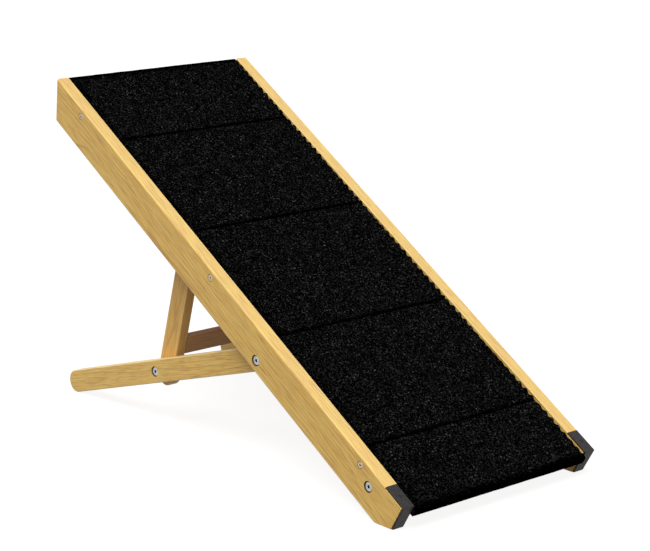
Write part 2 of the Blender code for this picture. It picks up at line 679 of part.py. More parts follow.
def add_mortise(name, width, thickness, side, face, parent, x, z):
    """Cutter for the tenon of such a bar, in the inner face of an upright or leg."""
    depth = TENON_LENGTH + GAP
    size_x = width - 2 * TENON_SHOULDER + 2 * GAP
    size_z = thickness - 2 * TENON_SHOULDER + 2 * GAP
    mesh = box_mesh(name, size_x, 2 * depth, size_z)
    return add_object(name, mesh, parent, None, (x, side * face, z))


def add_legs():
    """Two legs, the tie bar between them, and the bolts that carry them in the rails."""
    tie_x = -(TIE_START + TIE_WIDTH / 2)
    add_tenoned_bar("leg_tie_bar", TIE_WIDTH, TIE_THICKNESS, LEG_INSIDE - GAP, CROSSBAR_ROUND, LEGS, LEG_WOOD,
                    (tie_x, 0.0, 0.0), (0.0, 0.0, 0.0))
    bore = BOLT_RADIUS + BORE_CLEARANCE
    for side_name, side in SIDES.items():
        mesh = outline_mesh("leg_" + side_name, [stadium(-LEG_LENGTH, 0.0, LEG_WIDTH)], LEG_THICKNESS)
        middle = side * (LEG_FACE + LEG_INSIDE) / 2
        leg = add_object("leg_" + side_name, mesh, LEGS, LEG_WOOD, (0.0, middle, 0.0))
        soften(leg, LEG_ROUND)
        cut(leg, add_bore("leg_bore_" + side_name, bore, middle, 2 * LEG_THICKNESS, LEGS))
        cut(leg, add_counterbore("prop_bolt_hole_" + side_name, side, LEG_FACE, LEGS, -PROP_PIVOT, 0.0))
        cut(leg, add_mortise("tie_mortise_" + side_name, TIE_WIDTH, TIE_THICKNESS, side, LEG_INSIDE, LEGS, tie_x, 0.0))

        bolt_end = LEG_INSIDE - GAP - NUT_THICKNESS - BOLT_PAST_NUT
        place = (-PIVOT_UP, -PIVOT_DROP)
        add_bolt("leg_bolt_" + side_name, side, RAIL_FACE, bolt_end, RAMP, *place)
        add_washer("leg_washer_" + side_name, side, RAIL_INSIDE, LEG_FACE, RAMP, *place)
        add_nut("leg_nut_" + side_name, side, LEG_INSIDE, RAMP, *place)


def add_prop():
    """Prop frame: two uprights, the crossbar, the top bar, and the bolts that carry it in the legs."""
    bar_z = CROSSBAR_START + CROSSBAR_WIDTH / 2
    bar_x = PROP_WIDTH / 2 - CROSSBAR_THICKNESS / 2
    add_tenoned_bar("prop_crossbar", CROSSBAR_WIDTH, CROSSBAR_THICKNESS, PROP_INSIDE - GAP, CROSSBAR_ROUND, PROP,
                    LEG_WOOD, (bar_x, 0.0, bar_z), (0.0, pi / 2, 0.0))
    socket_floor = PROP_INSIDE + TOP_BAR_SOCKET
    half = socket_floor - GAP
    profile = [(0.0, half), (TOP_BAR_RADIUS, half), (TOP_BAR_RADIUS, -half), (0.0, -half)]
    turned("prop_top_bar", profile, ROUND_FACETS, PROP, LEG_WOOD, (0.0, 0.0, PROP_LENGTH), outward(1))
    bore = BOLT_RADIUS + BORE_CLEARANCE
    for side_name, side in SIDES.items():
        outline = [(-z, x) for x, z in stadium(-PROP_FOOT, PROP_LENGTH, PROP_WIDTH)]
        mesh = outline_mesh("prop_upright_" + side_name, [outline], PROP_THICKNESS)
        middle = side * (PROP_FACE + PROP_INSIDE) / 2
        upright = add_object("prop_upright_" + side_name, mesh, PROP, LEG_WOOD, (0.0, middle, 0.0))
        soften(upright, PROP_ROUND)
        cut(upright, add_bore("prop_bore_" + side_name, bore, middle, 2 * PROP_THICKNESS, PROP))
        cut(upright, add_bore("top_bar_socket_" + side_name, TOP_BAR_RADIUS + GAP, side * PROP_INSIDE,
                              2 * TOP_BAR_SOCKET, PROP, 0.0, PROP_LENGTH))
        mortise = add_mortise("crossbar_mortise_" + side_name, CROSSBAR_THICKNESS, CROSSBAR_WIDTH, side,
                              PROP_INSIDE, PROP, bar_x, bar_z)
        cut(upright, mortise)

        bolt_end = PROP_INSIDE - GAP - NUT_THICKNESS - BOLT_PAST_NUT
        add_bolt("prop_bolt_" + side_name, side, LEG_FACE, bolt_end, LEGS, -PROP_PIVOT, 0.0)
        add_washer("prop_washer_" + side_name, side, LEG_INSIDE, PROP_FACE, LEGS, -PROP_PIVOT, 0.0)
        add_nut("prop_nut_" + side_name, side, PROP_INSIDE, LEGS, -PROP_PIVOT, 0.0)


add_rails()
add_rack()
add_deck()
add_stretcher()
add_legs()
add_prop()
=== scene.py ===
# Looks of the folding dog ramp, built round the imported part. Metres, +Z up, the ramp standing open.

from math import cos, pi, radians, sin, tan

import bmesh
import bpy
from mathutils import Matrix, Vector, noise


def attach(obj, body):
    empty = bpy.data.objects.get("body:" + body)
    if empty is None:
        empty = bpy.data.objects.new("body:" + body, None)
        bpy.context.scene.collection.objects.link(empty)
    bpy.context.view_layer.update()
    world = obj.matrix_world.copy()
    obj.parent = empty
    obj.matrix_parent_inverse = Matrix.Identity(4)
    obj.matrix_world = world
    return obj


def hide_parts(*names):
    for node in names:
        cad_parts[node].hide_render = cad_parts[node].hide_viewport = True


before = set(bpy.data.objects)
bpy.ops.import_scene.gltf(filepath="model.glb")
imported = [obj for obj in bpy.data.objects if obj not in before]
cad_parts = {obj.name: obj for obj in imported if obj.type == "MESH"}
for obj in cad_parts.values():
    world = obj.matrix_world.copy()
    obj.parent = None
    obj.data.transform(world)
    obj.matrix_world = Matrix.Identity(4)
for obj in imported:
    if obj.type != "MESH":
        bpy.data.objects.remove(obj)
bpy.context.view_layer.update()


# View, floor and light. The ramp is seen from its low end's left side, from 3.3 m away and with a
# long lens. The floor is a pale studio sweep that looks white and keeps the ramp's soft shadow.

PHOTO_WIDTH = 650                      # pixels
PHOTO_FOCAL = 2040                     # pixels, from the deck's perspective
SENSOR_WIDTH = 36.0                    # mm
CAMERA_PLACE = (2.4353, -2.0476, 1.0626)
CAMERA_YAW = radians(49.518)
CAMERA_PITCH = radians(14.131)
CAMERA_ROLL = radians(0.117)
SOFTBOX_FROM = (0.20, -0.44, 1.0)      # where the ceiling's softbox shines from
SOFTBOX_STRENGTH = 3.1
SOFTBOX_SPREAD = radians(45)
SOFTBOX_COLOUR = "#F4FBFF"
AMBIENT = 0.25                         # light from all round
FILL_COLOUR = "#FFEEDD"                # warm white of the room's walls
FLOOR_RADIUS = 14.0
FLOOR_GREY = "#7D7A76"                 # what the floor throws back at the ramp
FLOOR_LIFT = 0.90                      # added where the floor is only looked at


def linear(colour):
    """Linear RGBA of an sRGB hex value."""
    channels = [int(colour[start:start + 2], 16) / 255 for start in (1, 3, 5)]
    return [c / 12.92 if c <= 0.04045 else ((c + 0.055) / 1.055) ** 2.4 for c in channels] + [1.0]


def add_node(tree, kind, inputs, stops=(), **settings):
    """Adds a shader node with its settings. An input takes a value, or a link if it is given an output.

    A colour Mix has its factor at input 0, its colours at 6 and 7, and its result at output 2.
    """
    made = tree.nodes.new("ShaderNode" + kind)
    for setting, value in settings.items():
        setattr(made, setting, value)
    for place, value in inputs.items():
        if isinstance(value, bpy.types.NodeSocket):
            tree.links.new(value, made.inputs[place])
        else:
            made.inputs[place].default_value = value
    for index, (position, colour) in enumerate(stops):
        elements = made.color_ramp.elements
        stop = elements[index] if index < 2 else elements.new(position)
        stop.position = position
        stop.color = linear(colour)
    return made


def seen_share(tree):
    """1 for a ray that looks at a surface or mirrors it, 0 for a ray that lights something."""
    path = add_node(tree, "LightPath", {})
    seen = path.outputs["Is Camera Ray"]
    for ray in ("Is Glossy Ray", "Is Transmission Ray"):
        seen = add_node(tree, "Math", {0: seen, 1: path.outputs[ray]}, operation="MAXIMUM").outputs[0]
    return seen


scene = bpy.context.scene
scene.view_settings.view_transform = "Standard"
lens = bpy.data.cameras.new("long_lens")
lens.sensor_width = SENSOR_WIDTH
lens.lens = PHOTO_FOCAL / PHOTO_WIDTH * SENSOR_WIDTH
scene.camera = bpy.data.objects.new("camera", lens)
scene.camera.location = CAMERA_PLACE
aim = Matrix.Rotation(CAMERA_YAW, 4, "Z") @ Matrix.Rotation(pi / 2 - CAMERA_PITCH, 4, "X")
scene.camera.rotation_euler = (aim @ Matrix.Rotation(CAMERA_ROLL, 4, "Z")).to_euler()
scene.collection.objects.link(scene.camera)

softbox = bpy.data.lights.new("ceiling", "SUN")
softbox.energy = SOFTBOX_STRENGTH
softbox.angle = SOFTBOX_SPREAD
softbox.color = linear(SOFTBOX_COLOUR)[:3]
ceiling = bpy.data.objects.new("ceiling", softbox)
ceiling.location = SOFTBOX_FROM
ceiling.rotation_euler = Vector(SOFTBOX_FROM).to_track_quat("Z", "Y").to_euler()
scene.collection.objects.link(ceiling)

scene.world = bpy.data.worlds.new("studio")
scene.world.use_nodes = True
sky = scene.world.node_tree
sky.nodes.clear()
sky_seen = seen_share(sky)
sky_level = add_node(sky, "Math", {0: sky_seen, 1: 1.0 - AMBIENT, 2: AMBIENT}, operation="MULTIPLY_ADD")
sky_colour = add_node(sky, "Mix", {0: sky_seen, 6: linear(FILL_COLOUR), 7: linear("#FFFFFF")},
                      data_type="RGBA")
sky_light = add_node(sky, "Background",
                     {"Color": sky_colour.outputs[2], "Strength": sky_level.outputs[0]})
add_node(sky, "OutputWorld", {"Surface": sky_light.outputs[0]})

paper = bpy.data.materials.new("studio_paper")
# Matt paper: a warm grey for the light that it returns, and lifted to white for the eye.
paper.use_nodes = True
paper_tree = paper.node_tree
paper_tree.nodes.clear()
matt = add_node(paper_tree, "BsdfDiffuse", {"Color": linear(FLOOR_GREY)})
lift = add_node(paper_tree, "Math", {0: seen_share(paper_tree), 1: FLOOR_LIFT}, operation="MULTIPLY")
glow = add_node(paper_tree, "Emission", {"Strength": lift.outputs[0]})
both = add_node(paper_tree, "AddShader", {0: matt.outputs[0], 1: glow.outputs[0]})
add_node(paper_tree, "OutputMaterial", {"Surface": both.outputs[0]})

floor_shape = bmesh.new()
bmesh.ops.create_circle(floor_shape, cap_ends=True, segments=96, radius=FLOOR_RADIUS)
floor_mesh = bpy.data.meshes.new("studio_floor")
floor_shape.to_mesh(floor_mesh)
floor_shape.free()
floor_mesh.materials.append(paper)
floor = bpy.data.objects.new("studio_floor", floor_mesh)
scene.collection.objects.link(floor)


# Rails. Two pine boards on edge, planed, eased along their edges and lacquered. The low end is
# sawn flush with the floor and let in for the rubber cap; bores take the bolts, screws and nails.

SIDES = {"left": -1, "right": 1}
SLOPE = radians(30.85)
LOW_CORNER = (0.442406, 0.0, 0.038376)
ON_RAMP = Matrix.Translation(LOW_CORNER) @ Matrix.Rotation(SLOPE, 4, "Y")   # -X up it, -Z its drop
RAIL_LENGTH = 1.000
RAIL_DEPTH = 0.066
RAIL_FACE = 0.200                      # faces are measured from the ramp's middle
RAIL_INSIDE = 0.1775
RAIL_MIDDLE = (RAIL_FACE + RAIL_INSIDE) / 2
RAIL_EASING = 0.0032                   # outer edges along the board
INNER_EASING = 0.0008                  # all the others
HEAD_CUT = radians(25.0)
FOOT_FACE = 0.0447
EASED_WEAR_AND_HIGHLIGHT = 0.1                       # how pale the outer eased edges are painted, as wear and painted highlight, from 0 to 1
# Painted light: the rails' tops are painted paler than their sides, and a strip along their inner edges paler
# still as a painted highlight.
TOP_PAINTED_LIGHT = 0.4
STRIP_PAINTED_HIGHLIGHT = 0.8
HIGHLIGHT_STRIP = 0.0022                     # width of the painted highlight along the tops' inner edges
CAP_LENGTH = 0.044
CAP_THICKNESS = 0.0030
FIT = 0.0003                           # between pieces that touch
CUT_OVER = 0.001                       # how far a cutter stands out of the wood
HEAD_RADIUS = 0.0073                   # bolt head
HEAD_DEPTH = 0.0032
SEAT_RADIUS = 0.0086                   # counterbore that the head lies in
SEAT_FLARE = 0.0012                    # chamfer round it
SHANK_RADIUS = 0.0030
BOLT_BORE = 0.03                       # deeper than any rail or leg is thick
SCREW_RADIUS = 0.0054
SCREW_DEPTH = 0.0028
SCREW_SEAT_GAP = 0.0006
SCREW_HOLE = 0.0023
SCREW_HOLE_DEPTH = 0.0403
NAIL_RADIUS = 0.0019
NAIL_HOLE = 0.0012
NAIL_HOLE_DEPTH = 0.0143
LEG_BOLT = (-0.360, -0.0483)           # x and z on the ramp
LOW_BOLT = (-0.0713, -0.0282)
DECK_SCREWS = {"low": 0.101, "middle": 0.511, "top": 0.914}   # up the ramp
SCREW_DROP = 0.0128
NAILS = {"top": Matrix.Translation((-0.022, 0.0, 0.0)),
         "front": Matrix.Translation((0.0, 0.0, -0.031)) @ Matrix.Rotation(pi / 2, 4, "Y")}
RAIL_HEARTS = {"left": (0.0, -0.13, -0.085), "right": (0.0, 0.30, 0.035)}
GRAIN_RISE = radians(1.3)              # how far the grain runs out of the edges and out of the faces
GRAIN_TURN = radians(0.7)


def new_material(name, sockets):
    """Material with one Principled shader, and that shader's own constant values."""
    material = bpy.data.materials.new(name)
    material.use_nodes = True
    tree = material.node_tree
    tree.nodes.clear()
    shader = add_node(tree, "BsdfPrincipled", sockets)
    add_node(tree, "OutputMaterial", {"Surface": shader.outputs[0]})
    return material, tree, shader


# Pine under a satin clear lacquer: straw yellow early wood, honey brown late wood lines 3 to 5 mm
# apart, orange brown streaks and fine fibres. Streaks and fibres are 0.03 to 0.3 mm wide, too fine
# to show, so they are drawn 1 to 2 mm wide and 40 mm long. A face attribute says how pale a face is
# painted: wear and painted highlight on eased edges, painted light on the rails' tops. At -1, in a
# bore, it paints the wood dark as the shade in the hollow.
RAIL_WOODS = ("#F9D478", "#EBBA5B", "#BB7B32", "#C58237")   # early wood, two tones; late wood; streaks
# pale wood for edge wear, for painted light on the rails' tops and for painted highlight along their inner
# edges
WORN_AND_LIT_WOOD = "#F9E3B0"
# painted shade inside the bores
BORE_PAINTED_SHADE = "#2B1D12"


def pine(name, grain, heart, ring, waver, contrast, seed, colours=RAIL_WOODS):
    """Lacquered pine. grain turns its length to X, heart is the pith's place, ring is in metres."""
    early_light, early_dark, late_brown, streak_brown = [linear(colour) for colour in colours]
    material, tree, shader = new_material(name, {
        "Roughness": 0.42, "Specular IOR Level": 0.4, "Coat Weight": 0.06, "Coat Roughness": 0.3})
    place = add_node(tree, "TexCoord", {}).outputs["Object"]
    turn = grain.to_euler()

    def along(stretch):
        return add_node(tree, "Mapping", {
            "Vector": place, "Location": heart, "Rotation": turn,
            "Scale": (stretch, 1.0, 1.0)}, vector_type="TEXTURE").outputs[0]

    rings = add_node(tree, "TexWave", {
        "Vector": along(5.0), "Scale": pi / 10 / ring, "Distortion": waver, "Detail": 2.0,
        "Detail Scale": 0.2, "Detail Roughness": 0.45, "Phase Offset": seed},
        wave_type="RINGS", rings_direction="X", wave_profile="SAW")
    late = add_node(tree, "ValToRGB", {"Fac": rings.outputs["Fac"]}, stops=[
        (0.0, "#000000"), (0.50, "#0C0C0C"), (0.82, "#808080"), (0.92, "#FFFFFF"), (1.0, "#202020")])
    patches = add_node(tree, "TexNoise", {"Vector": along(7.0), "Scale": 34.0, "Detail": 2.0})
    strength = add_node(tree, "MapRange", {
        "Value": patches.outputs["Fac"], "From Min": 0.35, "From Max": 0.68,
        "To Min": 0.35 * contrast, "To Max": contrast})
    dark = add_node(tree, "Math", {0: late.outputs["Color"], 1: strength.outputs[0]},
                    operation="MULTIPLY")
    bands = add_node(tree, "TexNoise", {"Vector": along(9.0), "Scale": 75.0, "Detail": 3.0})
    early = add_node(tree, "Mix", {0: bands.outputs["Fac"], 6: early_light, 7: early_dark},
                     data_type="RGBA")
    ringed = add_node(tree, "Mix", {0: dark.outputs[0], 6: early.outputs[2], 7: late_brown},
                      data_type="RGBA")
    streaks = add_node(tree, "TexNoise", {
        "Vector": along(17.0), "Scale": 440.0, "Detail": 3.0, "Roughness": 0.6})
    streak = add_node(tree, "MapRange", {
        "Value": streaks.outputs["Fac"], "From Min": 0.50, "From Max": 0.72, "To Max": 0.85 * contrast})
    streaked = add_node(tree, "Mix", {
        0: streak.outputs[0], 6: ringed.outputs[2], 7: streak_brown}, data_type="RGBA")
    fibres = add_node(tree, "TexNoise", {
        "Vector": along(28.0), "Scale": 700.0, "Detail": 2.0, "Roughness": 0.6})
    fibre_tone = add_node(tree, "MapRange", {
        "Value": fibres.outputs["Fac"], "From Min": 0.3, "From Max": 0.7, "To Min": 0.83, "To Max": 1.14})
    toned = add_node(tree, "VectorMath", {
        0: streaked.outputs[2], "Scale": fibre_tone.outputs[0]}, operation="SCALE")
    # Painted light: a positive face mark pales the wood, as edge wear and painted highlight.
    eased = add_node(tree, "Attribute", {}, attribute_name="wear_and_painted_light").outputs["Fac"]
    pale_share = add_node(tree, "Math", {0: eased, 1: 0.45}, operation="MULTIPLY")
    worn_and_lit = add_node(tree, "Mix", {
        0: pale_share.outputs[0], 6: toned.outputs[0], 7: linear(WORN_AND_LIT_WOOD)}, data_type="RGBA")
    # Painted shade: a face marked -1, inside a bore, turns dark.
    bore_shade = add_node(tree, "Math", {0: eased, 1: -0.85}, operation="MULTIPLY", use_clamp=True)
    bore_shaded = add_node(tree, "Mix", {
        0: bore_shade.outputs[0], 6: worn_and_lit.outputs[2], 7: linear(BORE_PAINTED_SHADE)}, data_type="RGBA")
    relief = add_node(tree, "Math", {0: fibres.outputs["Fac"], 1: dark.outputs[0]}, operation="SUBTRACT")
    bump = add_node(tree, "Bump", {"Strength": 0.22, "Distance": 0.0002, "Height": relief.outputs[0]})
    gloss = add_node(tree, "MapRange", {"Value": fibres.outputs["Fac"], "To Min": 0.36, "To Max": 0.52})
    tree.links.new(bore_shaded.outputs[2], shader.inputs["Base Color"])
    tree.links.new(gloss.outputs[0], shader.inputs["Roughness"])
    tree.links.new(bump.outputs[0], shader.inputs["Normal"])
    return material


def plank(points, low_y, high_y):
    """Board sawn to an outline of (x, z) points, between two faces."""
    shape = bmesh.new()
    face = shape.faces.new([shape.verts.new((x, low_y, z)) for x, z in points])
    grown = bmesh.ops.extrude_face_region(shape, geom=[face])["geom"]
    moved = [part for part in grown if isinstance(part, bmesh.types.BMVert)]
    bmesh.ops.translate(shape, verts=moved, vec=(0.0, high_y - low_y, 0.0))
    bmesh.ops.recalc_face_normals(shape, faces=shape.faces)
    return shape


def ease(shape, radius, steps=4, wear_and_light=1.0, chosen=lambda edge: True):
    """Rounds the chosen sharp edges of a sawn piece, and marks how pale the rounding is painted, as edge wear
    and painted highlight.
    """
    edges = [edge for edge in shape.edges if edge.calc_face_angle() > radians(30) and chosen(edge)]
    marked = shape.faces.layers.float.get("wear_and_painted_light") or shape.faces.layers.float.new("wear_and_painted_light")
    rounding = bmesh.ops.bevel(shape, geom=edges, offset=radius, segments=steps, profile=0.5,
                               affect="EDGES", material=-1)
    for face in rounding["faces"]:
        face[marked] = wear_and_light


def score(shape, point, direction):
    """Parts the faces that a plane through the point crosses, and takes nothing away."""
    everything = shape.verts[:] + shape.edges[:] + shape.faces[:]
    bmesh.ops.bisect_plane(shape, geom=everything, plane_co=point, plane_no=direction)


def lathe(profile, place=Matrix.Identity(4), steps=48, ring=False):
    """Solid turned round Z from (radius, height) points that start and end on the axis, or a ring."""
    shape = bmesh.new()
    points = [shape.verts.new((radius, 0.0, height)) for radius, height in profile]
    edges = [shape.edges.new(pair) for pair in zip(points, points[1:] + points[:1] * ring)]
    bmesh.ops.spin(shape, geom=points + edges, cent=(0, 0, 0), axis=(0, 0, 1), angle=2 * pi,
                   steps=steps, use_merge=True)
    bmesh.ops.remove_doubles(shape, verts=shape.verts, dist=1e-6)
    bmesh.ops.recalc_face_normals(shape, faces=shape.faces)
    bmesh.ops.transform(shape, matrix=place, verts=shape.verts)
    return shape


def outward(side, x, face, z):
    """Place of something that goes into a side face, its Z axis pointing out of the wood."""
    return Matrix.Translation((x, side * face, z)) @ Matrix.Rotation(-side * pi / 2, 4, "X")


def drilled(radius, depth, place, steps=32):
    """Cutter for a straight round hole."""
    return lathe([(0.0, CUT_OVER), (radius, CUT_OVER), (radius, -depth), (0.0, -depth)], place, steps)


def countersunk(rim, rim_depth, hole, cone_depth, depth, place):
    """Cutter for a screw: straight at its rim, then a cone down to the screw's hole."""
    return lathe([(0.0, CUT_OVER), (rim, CUT_OVER), (rim, -rim_depth), (hole, -cone_depth), (hole, -depth),
                  (0.0, -depth)], place, 32)


def shaded_bore(cutter):
    """Cutter for a bore painted dark inside as shade: its faces carry a mark of -1."""
    wear_and_light = cutter.faces.layers.float.new("wear_and_painted_light")
    for face in cutter.faces:
        face[wear_and_light] = -1.0
    return cutter


def bolt_seat(side, x, face, z):
    """Stepped bore for a bolt, its rim broken with a small chamfer, and its walls painted dark as shade."""
    hole = SHANK_RADIUS + FIT
    bottom = -HEAD_DEPTH - FIT
    return shaded_bore(lathe([(0.0, SEAT_FLARE), (SEAT_RADIUS + SEAT_FLARE + FIT, SEAT_FLARE),
                         (SEAT_RADIUS, -FIT), (SEAT_RADIUS, bottom), (hole, bottom), (hole, -BOLT_BORE),
                         (0.0, -BOLT_BORE)], outward(side, x, face, z)))


def screw_seat(side, up):
    """Countersunk hole for a deck screw, its walls painted dark as shade."""
    return shaded_bore(countersunk(SCREW_RADIUS + SCREW_SEAT_GAP, FIT, SCREW_HOLE, SCREW_DEPTH + FIT,
                              SCREW_HOLE_DEPTH, outward(side, -up, RAIL_FACE, -SCREW_DROP)))


def cut_away(piece, shapes, operation="DIFFERENCE"):
    """Cuts shapes out of a piece for good."""
    cutters = []
    for shape in shapes:
        mesh = bpy.data.meshes.new("cutter")
        shape.to_mesh(mesh)
        shape.free()
        cutter = bpy.data.objects.new("cutter", mesh)
        scene.collection.objects.link(cutter)
        cutters.append(cutter)
        hole = piece.modifiers.new("hole", "BOOLEAN")
        hole.operation = operation
        hole.solver = "EXACT"
        hole.object = cutter
    finished = piece.evaluated_get(bpy.context.evaluated_depsgraph_get())
    piece.data = bpy.data.meshes.new_from_object(finished)
    piece.modifiers.clear()
    for cutter in cutters:
        bpy.data.objects.remove(cutter)


def add_piece(name, shape, material, body, replaced, place, holes=(), trims=()):
    """Finished piece: bored, trimmed to what it lies within, put in its place, and fixed to its body."""
    mesh = bpy.data.meshes.new(name)
    shape.to_mesh(mesh)
    shape.free()
    piece = bpy.data.objects.new(name, mesh)
    scene.collection.objects.link(piece)
    if holes:
        cut_away(piece, holes)
    if trims:
        cut_away(piece, trims, "INTERSECT")
    piece.data.transform(place)
    piece.data.materials.clear()
    piece.data.materials.append(material)
    piece.data.shade_smooth()
    piece.data.set_sharp_from_angle(angle=radians(35))
    even = piece.modifiers.new("even_faces", "WEIGHTED_NORMAL")
    even.keep_sharp = True
    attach(piece, body)
    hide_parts(replaced)
    return piece


floor_run = (RAIL_DEPTH - FOOT_FACE) / tan(SLOPE)   # of the low end's cut, up the ramp
rail_outline = [(0.0, 0.0), (0.0, -FOOT_FACE), (-floor_run, -RAIL_DEPTH),
                (-RAIL_LENGTH + RAIL_DEPTH * tan(HEAD_CUT), -RAIL_DEPTH), (-RAIL_LENGTH, 0.0)]
let_in = CAP_THICKNESS + FIT
below_foot = -FOOT_FACE - let_in * tan(SLOPE) - let_in
rebate_outline = [(let_in, let_in), (-CAP_LENGTH - FIT, let_in), (-CAP_LENGTH - FIT, -let_in),
                  (-let_in, -let_in), (-let_in, below_foot), (let_in, below_foot)]
for side_name, side in SIDES.items():
    low_y, high_y = sorted((side * RAIL_FACE, side * RAIL_INSIDE))
    rail = plank(rail_outline, low_y, high_y)
    ease(rail, RAIL_EASING, wear_and_light=EASED_WEAR_AND_HIGHLIGHT, chosen=lambda edge: edge.calc_length() > RAIL_LENGTH / 2
         and edge.verts[0].co.y * side > RAIL_MIDDLE)
    ease(rail, INNER_EASING, steps=3)
    # Painted light: the tops are marked paler than the sides, and the strip along their inner edge paler
    # still, as a painted highlight.
    highlight_edge = RAIL_INSIDE + HIGHLIGHT_STRIP
    score(rail, (0, side * highlight_edge, 0), (0, 1, 0))
    wear_and_light = rail.faces.layers.float["wear_and_painted_light"]
    for face in rail.faces:
        if face.normal.z > 0.95:       # the board's top
            inner = face.calc_center_median().y * side < highlight_edge
            face[wear_and_light] = STRIP_PAINTED_HIGHLIGHT if inner else TOP_PAINTED_LIGHT
    holes = [plank(rebate_outline, low_y - FIT, high_y + FIT)]
    holes += [bolt_seat(side, x, RAIL_FACE, z) for x, z in (LEG_BOLT, LOW_BOLT)]
    holes += [screw_seat(side, up) for up in DECK_SCREWS.values()]
    middle = Matrix.Translation((0.0, side * RAIL_MIDDLE, 0.0))
    holes += [drilled(NAIL_HOLE, NAIL_HOLE_DEPTH, middle @ nail, 24) for nail in NAILS.values()]
    grain = Matrix.Rotation(SLOPE + GRAIN_RISE, 4, "Y") @ Matrix.Rotation(side * GRAIN_TURN, 4, "Z")
    wood = pine(f"lacquered_pine_rail_{side_name}", grain, ON_RAMP @ Vector(RAIL_HEARTS[side_name]),
                ring=0.0032, waver=11.0, contrast=0.90, seed=side * 2.0)
    add_piece(f"{side_name}_rail", rail, wood, "ramp", f"rail_{side_name}", ON_RAMP, holes)


# Rubber caps. A moulded strip of slate black rubber is bent over each rail's low corner, let in
# flush with the wood, and held by one flat nail in its top and one in its front.

CAP_INSET = 0.0010
CAP_EASING = 0.0007
NAIL_CROWN = [(0.0, 0.00012), (0.0010, 0.0001), (0.0016, 0.0), (NAIL_RADIUS, -0.0003)]
NAIL_HEAD = 0.0009
NAIL_SHANK = 0.0009
NAIL_LENGTH = 0.014
NAIL_POINT = 0.001
NAIL_SINK = 0.0003
NAIL_SEAT = 0.0012
NAIL_DIMPLE = [(0.0, CUT_OVER), (0.0034, CUT_OVER), (0.0024, -0.0004), (0.0022, -NAIL_SEAT)]
THROUGH_CAP = 0.004

rubber, rubber_tree, rubber_shader = new_material("moulded_rubber", {
    "Roughness": 0.58, "Specular IOR Level": 0.28})
# Moulded rubber: matt warm black, with a fine even stipple and a faint bloom in patches.
rubber_place = add_node(rubber_tree, "TexCoord", {}).outputs["Object"]
bloom = add_node(rubber_tree, "TexNoise", {"Vector": rubber_place, "Scale": 140.0, "Detail": 4.0})
bloom_tone = add_node(rubber_tree, "ValToRGB", {"Fac": bloom.outputs["Fac"]},
                      stops=[(0.35, "#1E1C1B"), (0.68, "#2E2B2A")])
stipple = add_node(rubber_tree, "TexNoise", {"Vector": rubber_place, "Scale": 1400.0, "Detail": 1.0})
rubber_bump = add_node(rubber_tree, "Bump", {
    "Strength": 0.35, "Distance": 0.0002, "Height": stipple.outputs["Fac"]})
rubber_gloss = add_node(rubber_tree, "MapRange", {
    "Value": bloom.outputs["Fac"], "To Min": 0.48, "To Max": 0.70})
rubber_tree.links.new(bloom_tone.outputs["Color"], rubber_shader.inputs["Base Color"])
rubber_tree.links.new(rubber_gloss.outputs[0], rubber_shader.inputs["Roughness"])
rubber_tree.links.new(rubber_bump.outputs[0], rubber_shader.inputs["Normal"])

black_steel, steel_tree, steel_shader = new_material("blackened_steel", {"Metallic": 1.0, "Roughness": 0.42})
# Blackened steel wire nails: near black heads with a dull sheen and lighter specks where struck.
steel_place = add_node(steel_tree, "TexCoord", {}).outputs["Object"]
struck = add_node(steel_tree, "TexNoise", {"Vector": steel_place, "Scale": 1800.0, "Detail": 2.0})
steel_tone = add_node(steel_tree, "ValToRGB", {"Fac": struck.outputs["Fac"]},
                      stops=[(0.40, "#1B1C1D"), (0.72, "#56585A")])
steel_tree.links.new(steel_tone.outputs["Color"], steel_shader.inputs["Base Color"])

cap_outline = [(0.0, 0.0), (-CAP_LENGTH, 0.0), (-CAP_LENGTH, -CAP_THICKNESS),
               (-CAP_THICKNESS, -CAP_THICKNESS),
               (-CAP_THICKNESS, -FOOT_FACE - CAP_THICKNESS * tan(SLOPE)), (0.0, -FOOT_FACE)]
nail_profile = NAIL_CROWN + [(NAIL_RADIUS, -NAIL_HEAD), (NAIL_SHANK, -NAIL_HEAD),
                             (NAIL_SHANK, NAIL_POINT - NAIL_LENGTH), (0.0, -NAIL_LENGTH)]
nail_seat = NAIL_DIMPLE + [(NAIL_HOLE, -NAIL_SEAT), (NAIL_HOLE, -THROUGH_CAP), (0.0, -THROUGH_CAP)]
for side_name, side in SIDES.items():
    low_y, high_y = sorted((side * (RAIL_FACE - CAP_INSET), side * (RAIL_INSIDE + CAP_INSET)))
    cap = plank(cap_outline, low_y, high_y)
    ease(cap, CAP_EASING, steps=3)
    holes = []
    for nail_name, nail in NAILS.items():
        place = Matrix.Translation((0.0, side * RAIL_MIDDLE, 0.0)) @ nail
        holes.append(lathe(nail_seat, place, 32))
        sunk = place @ Matrix.Translation((0.0, 0.0, -NAIL_SINK))
        add_piece(f"{nail_name}_nail_{side_name}", lathe(nail_profile, sunk, 24), black_steel, "ramp",
                  f"cap_nail_{nail_name}_{side_name}", ON_RAMP)
    add_piece(f"corner_cap_{side_name}", cap, rubber, "ramp", f"rubber_cap_{side_name}",
              ON_RAMP, holes)


# Deck board. A length of birch plywood lies between the rails, a little below their tops. Three
# screws a side hold it through the rails. Its ends reach into the felt's bends and are painted black.

BOARD_TOP = 0.0076                     # drops below the tops of the rails
BOARD_UNDERSIDE = 0.0168
BOARD_PAST_LOW = 0.0034                # past the ends of the rails
BOARD_PAST_TOP = 0.0018
BOARD_HALF_WIDTH = 0.1762
BOARD_EASING = 0.0012
PAINTED_END = 0.008                    # inside the rails' ends
RACK_SEAT_GAP = 0.001
RACK_SEAT_DEPTH = 0.0013
RACK_CONE_DEPTH = 0.0043
RACK_SCREW_HOLE = 0.0024
RACK_SCREW_LENGTH = 0.018
BARE_WOODS = ("#E6C48B", "#DAB274", "#B88B50", "#C99A5C")

